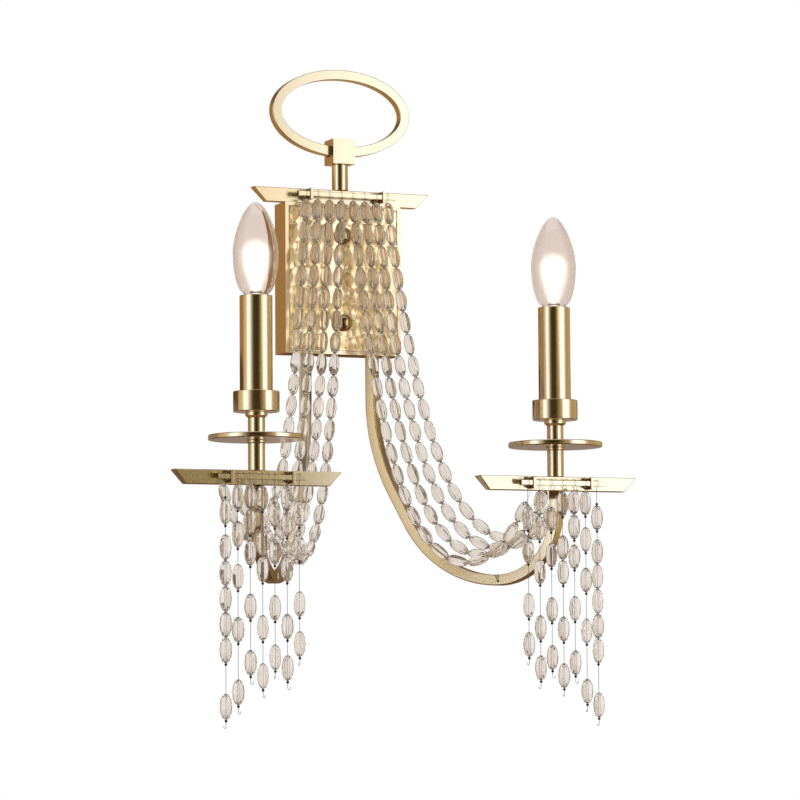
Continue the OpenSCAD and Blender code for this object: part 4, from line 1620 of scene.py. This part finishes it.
@dataclass(frozen=True)
class DrapedStrand:
    """Beads on a wire slung as a chain from the top rail to a candle bar's rear rail.

    Args:
        side: left or right.
        number: 1 innermost to 4.
        length: length of the first strand's chain.
        shorter: how much shorter each next strand is.
        pitch: distance between beads along the chain.
        top: place of the first strand on the top rail.
        top_pitch: distance between strands there.
        end_pitch: distance between strands on the rear rail.
        end_shift: how far the ends are shifted outwards.
        bead: shape of a bead.
        parts: wire parts.
        link: wire between a rail's loop and the chain's end.
    """

    side: Side
    number: int
    length: float = 405.0
    shorter: float = 9.3
    pitch: float = 17.95
    top: tuple[float, float, float] = (5.0, 30.75, 66.5)
    top_pitch: float = 10.1
    end_pitch: float = 13.2
    end_shift: float = 4.0
    bead: BeadShape = BeadShape(9.0, 17.6)
    parts: StrandParts = StrandParts(wire=0.3)
    link: float = 0.6

    def ends(self) -> tuple[Array, Array]:
        """The rail points that the strand hangs from.

        Returns:
            The place on the top rail and the place on the rear rail.
        """
        k, s = self.number, self.side.value
        first = np.array([s * (self.top[0] + (k - 1) * self.top_pitch), -self.top[1], self.top[2]])
        last = np.array([s * (CANDLE.x + self.end_shift + (k - 2.5) * self.end_pitch),
                         -CANDLE.y + CANDLE.rail_gap, CANDLE.rail_z])
        return first, last

    def chain(self, a: Array, b: Array) -> Array:
        """Points at even steps of length along a chain hung from a to b.

        The chain is z = s cosh((x - low) / s), where sinh(m) / m = root(length^2 - drop^2) / span and
        s = span / 2m; m is found by halving an interval.

        Args:
            a: the chain's upper end.
            b: its lower end.

        Returns:
            The points, the first at a.
        """
        length = self.length - (self.number - 1) * self.shorter
        span, drop = math.hypot(*(b - a)[:2]), b[2] - a[2]
        spread = math.sqrt(length ** 2 - drop ** 2) / span
        low, high = 0.01, 20.0
        for _ in range(40):
            middle = (low + high) / 2
            low, high = (middle, high) if math.sinh(middle) / middle < spread else (low, middle)
        s = span / (low + high)
        lowest = span / 2 - s * math.log((length + drop) / (length - drop)) / 2
        along = math.sinh(-lowest / s) + np.arange(int(length / self.pitch) + 1) * self.pitch / s
        x = lowest + s * np.arcsinh(along)
        rise = s * (np.cosh((x - lowest) / s) - math.cosh(lowest / s))
        return a + np.outer(x / span, [*(b - a)[:2], 0]) + np.outer(rise, [0, 0, 1])

    def build(self) -> None:
        """Builds the beads and the wire and dresses them."""
        rng = np.random.default_rng(500 + 10 * self.number + self.side.value)
        first, last = self.ends()
        hang, link = np.array([0, 0, self.parts.loop_radius + self.link]), np.array([0, 0, self.link])
        joints = self.chain(first - hang, last - hang)
        middles, axes = (joints[1:] + joints[:-1]) / 2, unit(np.diff(joints, axis=0))
        across = unit(np.cross(last - first, [0, 0, 1.0]))
        node = f"{self.side.word}_draped_strand_{self.number}"
        beads = place(self.bead.strung(middles, axes, across, rng.uniform(0, np.pi, len(middles))),
                      f"{node}_beads", BEAD_GLASS, node, node)
        self.bead.sharpen(beads.data)
        line = np.concatenate([[first - hang + link], joints, [last - hang + link]])
        wire = Surface.joined([round_wire(line, self.parts.wire, across), self.parts.rail_loop(first),
                               self.parts.rail_loop(last)])
        place(wire, f"{node}_wire", THREAD, node, node)


# Studio


@dataclass(frozen=True)
class Camera:
    """The photograph's view.

    Args:
        azimuth: degrees round from the front, negative to the left.
        elevation: degrees above level.
        roll: degrees.
        lens: focal length in millimetres.
        sensor: width of the sensor in millimetres.
        distance: distance from the point looked at, in millimetres.
        target: that point, in millimetres.
    """

    azimuth: float = -23.52
    elevation: float = -4.84
    roll: float = -0.41
    lens: float = 171.8
    sensor: float = 36.0
    distance: float = 3091.9
    target: tuple[float, float, float] = (58.47, 0.0, -93.5)

    def build(self) -> None:
        """Makes the camera: its axes are right, back x right and back, turned by the roll."""
        a, e, r = (math.radians(v) for v in (self.azimuth, self.elevation, self.roll))
        back = Vector((math.sin(a) * math.cos(e), -math.cos(a) * math.cos(e), math.sin(e)))
        right = Vector((math.cos(a), math.sin(a), 0))
        up = back.cross(right)
        level = Matrix((math.cos(r) * right + math.sin(r) * up, -math.sin(r) * right + math.cos(r) * up, back))
        data = bpy.data.cameras.new("view")
        data.lens, data.sensor_width, data.clip_end = self.lens, self.sensor, 50.0
        camera = bpy.data.objects.new("view", data)
        bpy.context.scene.collection.objects.link(camera)
        spot = (Vector(self.target) + back * self.distance) * MM
        camera.matrix_world = Matrix.Translation(spot) @ level.transposed().to_4x4()
        bpy.context.scene.camera = camera


class Seen(Enum):
    """Which rays meet a reflector card."""

    GLOSSY = "glossy"
    THROUGH_GLASS = "transmission"


@dataclass(frozen=True)
class Studio:
    """Pale floor, white world, soft lamps, and a round screen that metal and glass reflect.

    Args:
        floor_z: height of the floor in metres.
        radius: radius of the round screen in metres.
        near_height: height in metres up to which the metal's screen keeps its tone.
        far_height: height where it is darkest.
        far_share: share of its tone there.
        brightest: strength of the metal's screen. Its ramp holds each tone as a share of it.
        screen_heights: heights of the round screens' edges in metres.
        lamp_distance: distance of a lamp from the middle in metres.
        lamp_size: width and height of a lamp in metres.
        lamp_power: power of a lamp in watts.
        shed: strength of the white world as a lamp.
        floor_tone: grey of the floor.
        floor_glow: share of white that is added to the floor for rays that see it.
        tones: brightness and tint of the metal's screen by azimuth in degrees, from the front towards +X.
        wall_tones: tone of the wall's card by height in millimetres.
        flag_tones: tones of the glass's screen by azimuth.
        amber: tone of the card that the panel reflects.
        amber_span: azimuths where that card begins and ends.
        amber_heights: heights of its lower and upper edge in metres.
        low_tone: tone of the card under the light.
    """

    floor_z: float = -0.75
    radius: float = 1.2
    near_height: float = 0.42
    far_height: float = 0.8
    far_share: float = 0.15
    brightest: float = 2.3
    screen_heights: tuple[float, float] = (-1.6, 1.8)
    lamp_distance: float = 2.4
    lamp_size: tuple[float, float] = (1.2, 1.6)
    lamp_power: float = 26.0
    shed: float = 0.6
    floor_tone: float = 0.82
    floor_glow: float = 0.3
    tones: tuple[tuple[float, Color], ...] = (
        (-180, (0.4, 0.24, 0.1)), (-145, (0.45, 0.25, 0.1)), (-125, (0.6, 0.5, 0.3)), (-100, (0.7, 0.6, 0.36)),
        (-84, (0.85, 0.76, 0.5)), (-78, (1.6, 1.78, 2.1)), (-64, (1.6, 1.78, 2.1)), (-51, (0.55, 0.55, 0.45)),
        (-41, (0.06, 0.04, 0.01)), (-9, (0.05, 0.03, 0.01)), (0, (0.32, 0.26, 0.12)), (12, (0.3, 0.24, 0.09)),
        (15.5, (0.36, 0.3, 0.12)), (20, (1.6, 1.75, 1.95)), (28, (1.8, 1.98, 2.3)), (44, (1.7, 1.88, 2.2)),
        (56, (0.55, 0.44, 0.28)), (75, (0.5, 0.4, 0.22)), (100, (0.6, 0.5, 0.26)), (180, (0.4, 0.24, 0.1)))
    wall_tones: tuple[tuple[float, Color], ...] = (
        (-330, (0.2, 0.13, 0.07)), (-178, (0.2, 0.13, 0.07)), (-168, (0.34, 0.28, 0.24)), (-110, (0.34, 0.28, 0.24)),
        (-95, (0.1, 0.05, 0.02)), (-62, (0.1, 0.05, 0.02)), (-60, (0.42, 0.24, 0.1)), (90, (0.42, 0.24, 0.1)))
    flag_tones: tuple[tuple[float, Color], ...] = (
        (-180, (0.95, 0.93, 0.93)), (-165, (0.85, 0.81, 0.81)), (-145, (0.6, 0.5, 0.4)),
        (-100, (0.55, 0.44, 0.33)), (-60, (0.9, 0.88, 0.85)), (20, (0.9, 0.88, 0.85)), (60, (0.55, 0.44, 0.33)),
        (100, (0.6, 0.5, 0.4)), (122, (0.85, 0.81, 0.8)), (138, (0.97, 0.95, 0.95)), (157, (1.0, 1.0, 1.0)),
        (176, (0.97, 0.95, 0.95)), (180, (0.95, 0.93, 0.93)))
    amber: Color = (1.5, 1.3, 0.95)
    amber_span: tuple[float, float] = (6.0, 21.0)
    amber_heights: tuple[float, float] = (0.03, 0.2)
    low_tone: Color = (0.12, 0.07, 0.03)

    @property
    def all_round(self) -> Array:
        """Azimuths of a round screen's points in degrees."""
        return np.linspace(-180, 180, 97)[:-1]

    def reflector(self, name: str, card: Surface, seen: Seen) -> NodeSheet:
        """Card of the stage that only one kind of ray meets.

        Args:
            name: name of the card.
            card: its shape.
            seen: the rays that meet it.

        Returns:
            The node sheet of its empty material.
        """
        piece = bpy.data.objects.new(name, card.mesh(name))
        bpy.context.scene.collection.objects.link(piece)
        for kind in ("camera", "diffuse", "glossy", "transmission", "shadow", "volume_scatter"):
            setattr(piece, f"visible_{kind}", kind == seen.value)
        material, sheet = new_material(name)
        piece.data.materials.append(material)
        return sheet

    def curved(self, azimuths: Array, radius: float, heights: tuple[float, float], closed: bool = False) -> Surface:
        """Upright card on an arc: the points radius (sin a, -cos a) at azimuth a, at both heights.

        Args:
            azimuths: azimuths of its points in degrees.
            radius: radius in metres.
            heights: heights of its edges in metres.
            closed: it goes all the way round.

        Returns:
            The card.
        """
        turn = np.radians(azimuths)
        arc = radius / MM * np.stack([np.sin(turn), -np.cos(turn), 0 * turn], 1)
        points = np.concatenate([arc + [0, 0, height / MM] for height in heights])
        return Surface(points, [cells(np.arange(len(points)).reshape(2, -1), closed)])

    def flat(self, half: float, low: tuple[float, float], high: tuple[float, float]) -> Surface:
        """Flat card as wide as twice half, between two edges given as y and z, in millimetres."""
        corners = [(-half, *low), (half, *low), (half, *high), (-half, *high)]
        return Surface(np.array(corners), [np.array([[0, 1, 2, 3]])])

    def azimuth(self, sheet: NodeSheet) -> bpy.types.NodeSocket:
        """Azimuth from -Y towards +X, as a share of the full turn from -180 to 180 degrees.

        Args:
            sheet: a stage material's tree.

        Returns:
            The share's socket.
        """
        x, y, _ = sheet.position()
        turn = sheet.math("ARCTAN2", x, sheet.math("MULTIPLY", y, -1.0))
        return sheet.math("MULTIPLY_ADD", turn, 1 / (2 * math.pi), 0.5)

    def reflections(self) -> None:
        """Screen for metal: its tone follows the azimuth, and it is dark far above and below the light.

        The share of the tone is 1 up to near_height above or below the middle, and falls to far_share at
        far_height.
        """
        card = self.curved(self.all_round, self.radius, self.screen_heights, closed=True)
        sheet = self.reflector("studio_reflections", card, Seen.GLOSSY)
        fade = sheet.add("ShaderNodeMapRange", Value=sheet.math("ABSOLUTE", sheet.position()[2]),
                         From_Min=self.near_height, From_Max=self.far_height, To_Min=self.brightest,
                         To_Max=self.brightest * self.far_share)
        stops = [((a + 180) / 360, tuple(c / self.brightest for c in color)) for a, color in self.tones]
        sheet.glow(sheet.ramp(self.azimuth(sheet), stops, smooth=False), fade.outputs[0])

    def flags(self) -> None:
        """Screen with grey flags at both sides, which glass bends into its outlines."""
        card = self.curved(self.all_round, self.radius * 1.4, self.screen_heights, closed=True)
        sheet = self.reflector("studio_flags", card, Seen.THROUGH_GLASS)
        stops = [((a + 180) / 360, color) for a, color in self.flag_tones]
        sheet.glow(sheet.ramp(self.azimuth(sheet), stops, smooth=False))

    def wall_card(self) -> None:
        """Card behind the light that only metal reflects: brown, with a pale band level with the drip discs."""
        low, high = self.wall_tones[0][0], self.wall_tones[-1][0]
        sheet = self.reflector("studio_wall_card", self.flat(400.0, (3.0, low), (3.0, high)), Seen.GLOSSY)
        share = sheet.math("MULTIPLY_ADD", sheet.position()[2], 1 / MM / (high - low), -low / (high - low))
        stops = [((z - low) / (high - low), color) for z, color in self.wall_tones]
        sheet.glow(sheet.ramp(share, stops, smooth=False))

    def amber_card(self) -> None:
        """Curved card in front of the metal's screen, level with the panel, whose domes reflect it."""
        card = self.curved(np.linspace(*self.amber_span, 9), 0.97 * self.radius, self.amber_heights)
        self.reflector("studio_amber_card", card, Seen.GLOSSY).glow((*self.amber, 1))

    def low_card(self) -> None:
        """Dark level card under the light, which the lower edges of the metal reflect."""
        card = self.flat(700.0, (-700.0, -450.0), (700.0, -450.0))
        self.reflector("studio_low_card", card, Seen.GLOSSY).glow((*self.low_tone, 1))

    def seen_white(self, sheet: NodeSheet) -> bpy.types.NodeSocket:
        """1 for camera, glossy and transmission rays, and 0 for the rest.

        Args:
            sheet: a stage material's or the world's tree.

        Returns:
            The share's socket.
        """
        rays = sheet.add("ShaderNodeLightPath").outputs
        both = sheet.math("MAXIMUM", rays["Is Camera Ray"], rays["Is Glossy Ray"])
        return sheet.math("MAXIMUM", both, rays["Is Transmission Ray"])

    def world(self) -> None:
        """White world, dimmer for the light that it sheds on the object."""
        world = bpy.data.worlds.new("white_studio")
        world.use_nodes = True
        sheet = NodeSheet(world.node_tree)
        strength = sheet.math("MULTIPLY_ADD", self.seen_white(sheet), 1 - self.shed, self.shed)
        sheet.close(sheet.add("ShaderNodeBackground", Color=(1, 1, 1, 1), Strength=strength).outputs[0], "World")
        bpy.context.scene.world = world

    def floor(self) -> None:
        """Pale floor that keeps the object's shadow and looks white to the camera."""
        half, z = 8000.0, self.floor_z / MM
        floor = bpy.data.objects.new("pale_floor", self.flat(half, (-half, z), (half, z)).mesh("pale_floor"))
        bpy.context.scene.collection.objects.link(floor)
        material, sheet = new_material("pale_floor")
        matt = sheet.add("ShaderNodeBsdfDiffuse", Color=(*[self.floor_tone] * 3, 1)).outputs[0]
        glow = sheet.add("ShaderNodeEmission", Color=(1, 1, 1, 1),
                         Strength=sheet.math("MULTIPLY", self.seen_white(sheet), self.floor_glow)).outputs[0]
        both = sheet.add("ShaderNodeAddShader")
        sheet.feed(both, 0, matt)
        sheet.feed(both, 1, glow)
        sheet.close(both.outputs[0])
        floor.data.materials.append(material)

    def lamp(self, name: str, azimuth: float, height: float) -> None:
        """Soft lamp at an azimuth that faces the object and isn't reflected, because the screen takes its place.

        Args:
            name: name of the lamp.
            azimuth: degrees from the front towards +X.
            height: height in metres.
        """
        data = bpy.data.lights.new(name, "AREA")
        data.shape, data.energy = "RECTANGLE", self.lamp_power
        data.size, data.size_y = self.lamp_size
        lamp = bpy.data.objects.new(name, data)
        bpy.context.scene.collection.objects.link(lamp)
        a, far = math.radians(azimuth), self.lamp_distance
        lamp.location = (far * math.sin(a), -far * math.cos(a), height)
        lamp.rotation_euler = (Vector((0, 0, -0.1)) - lamp.location).to_track_quat("-Z", "Y").to_euler()
        lamp.visible_glossy = False
        lamp.visible_transmission = False

    def build(self) -> None:
        """Sets up the whole studio."""
        self.world()
        self.floor()
        self.reflections()
        self.wall_card()
        self.amber_card()
        self.low_card()
        self.flags()
        self.lamp("left_lamp", -82.0, 0.5)
        self.lamp("right_lamp", 38.0, 0.7)
        bpy.context.scene.view_settings.view_transform = "Standard"


# Depths of the beads' middles under the rail, for hanging strands 1 to 7
HANGING_BEADS: tuple[tuple[float, ...], ...] = (
    (27, 53, 95, 125), (16, 35.2, 69, 112, 143), (28, 56, 98, 135), (15.8, 50, 69.2, 113, 149),
    (14.6, 33.8, 57, 97, 139), (15.2, 43.5, 75, 114.5, 161), (26.5, 53, 72.2, 91.4, 110.6, 129.8, 171.7))


def main() -> None:
    """Builds the light piece by piece, then the studio."""
    Camera().build()
    Backplate().build()
    Crown().build()
    for side in Side:
        Arm(side).build()
        Candle(side).build()
        CandleBulb(side).build()
        for k, depths in enumerate(HANGING_BEADS, 1):
            HangingStrand(side, k, depths).build()
        for k in range(1, 5):
            DrapedStrand(side, k).build()
    Studio().build()


if __name__ == "__main__":
    logging.basicConfig(level=logging.INFO, format="%(message)s")
    main()
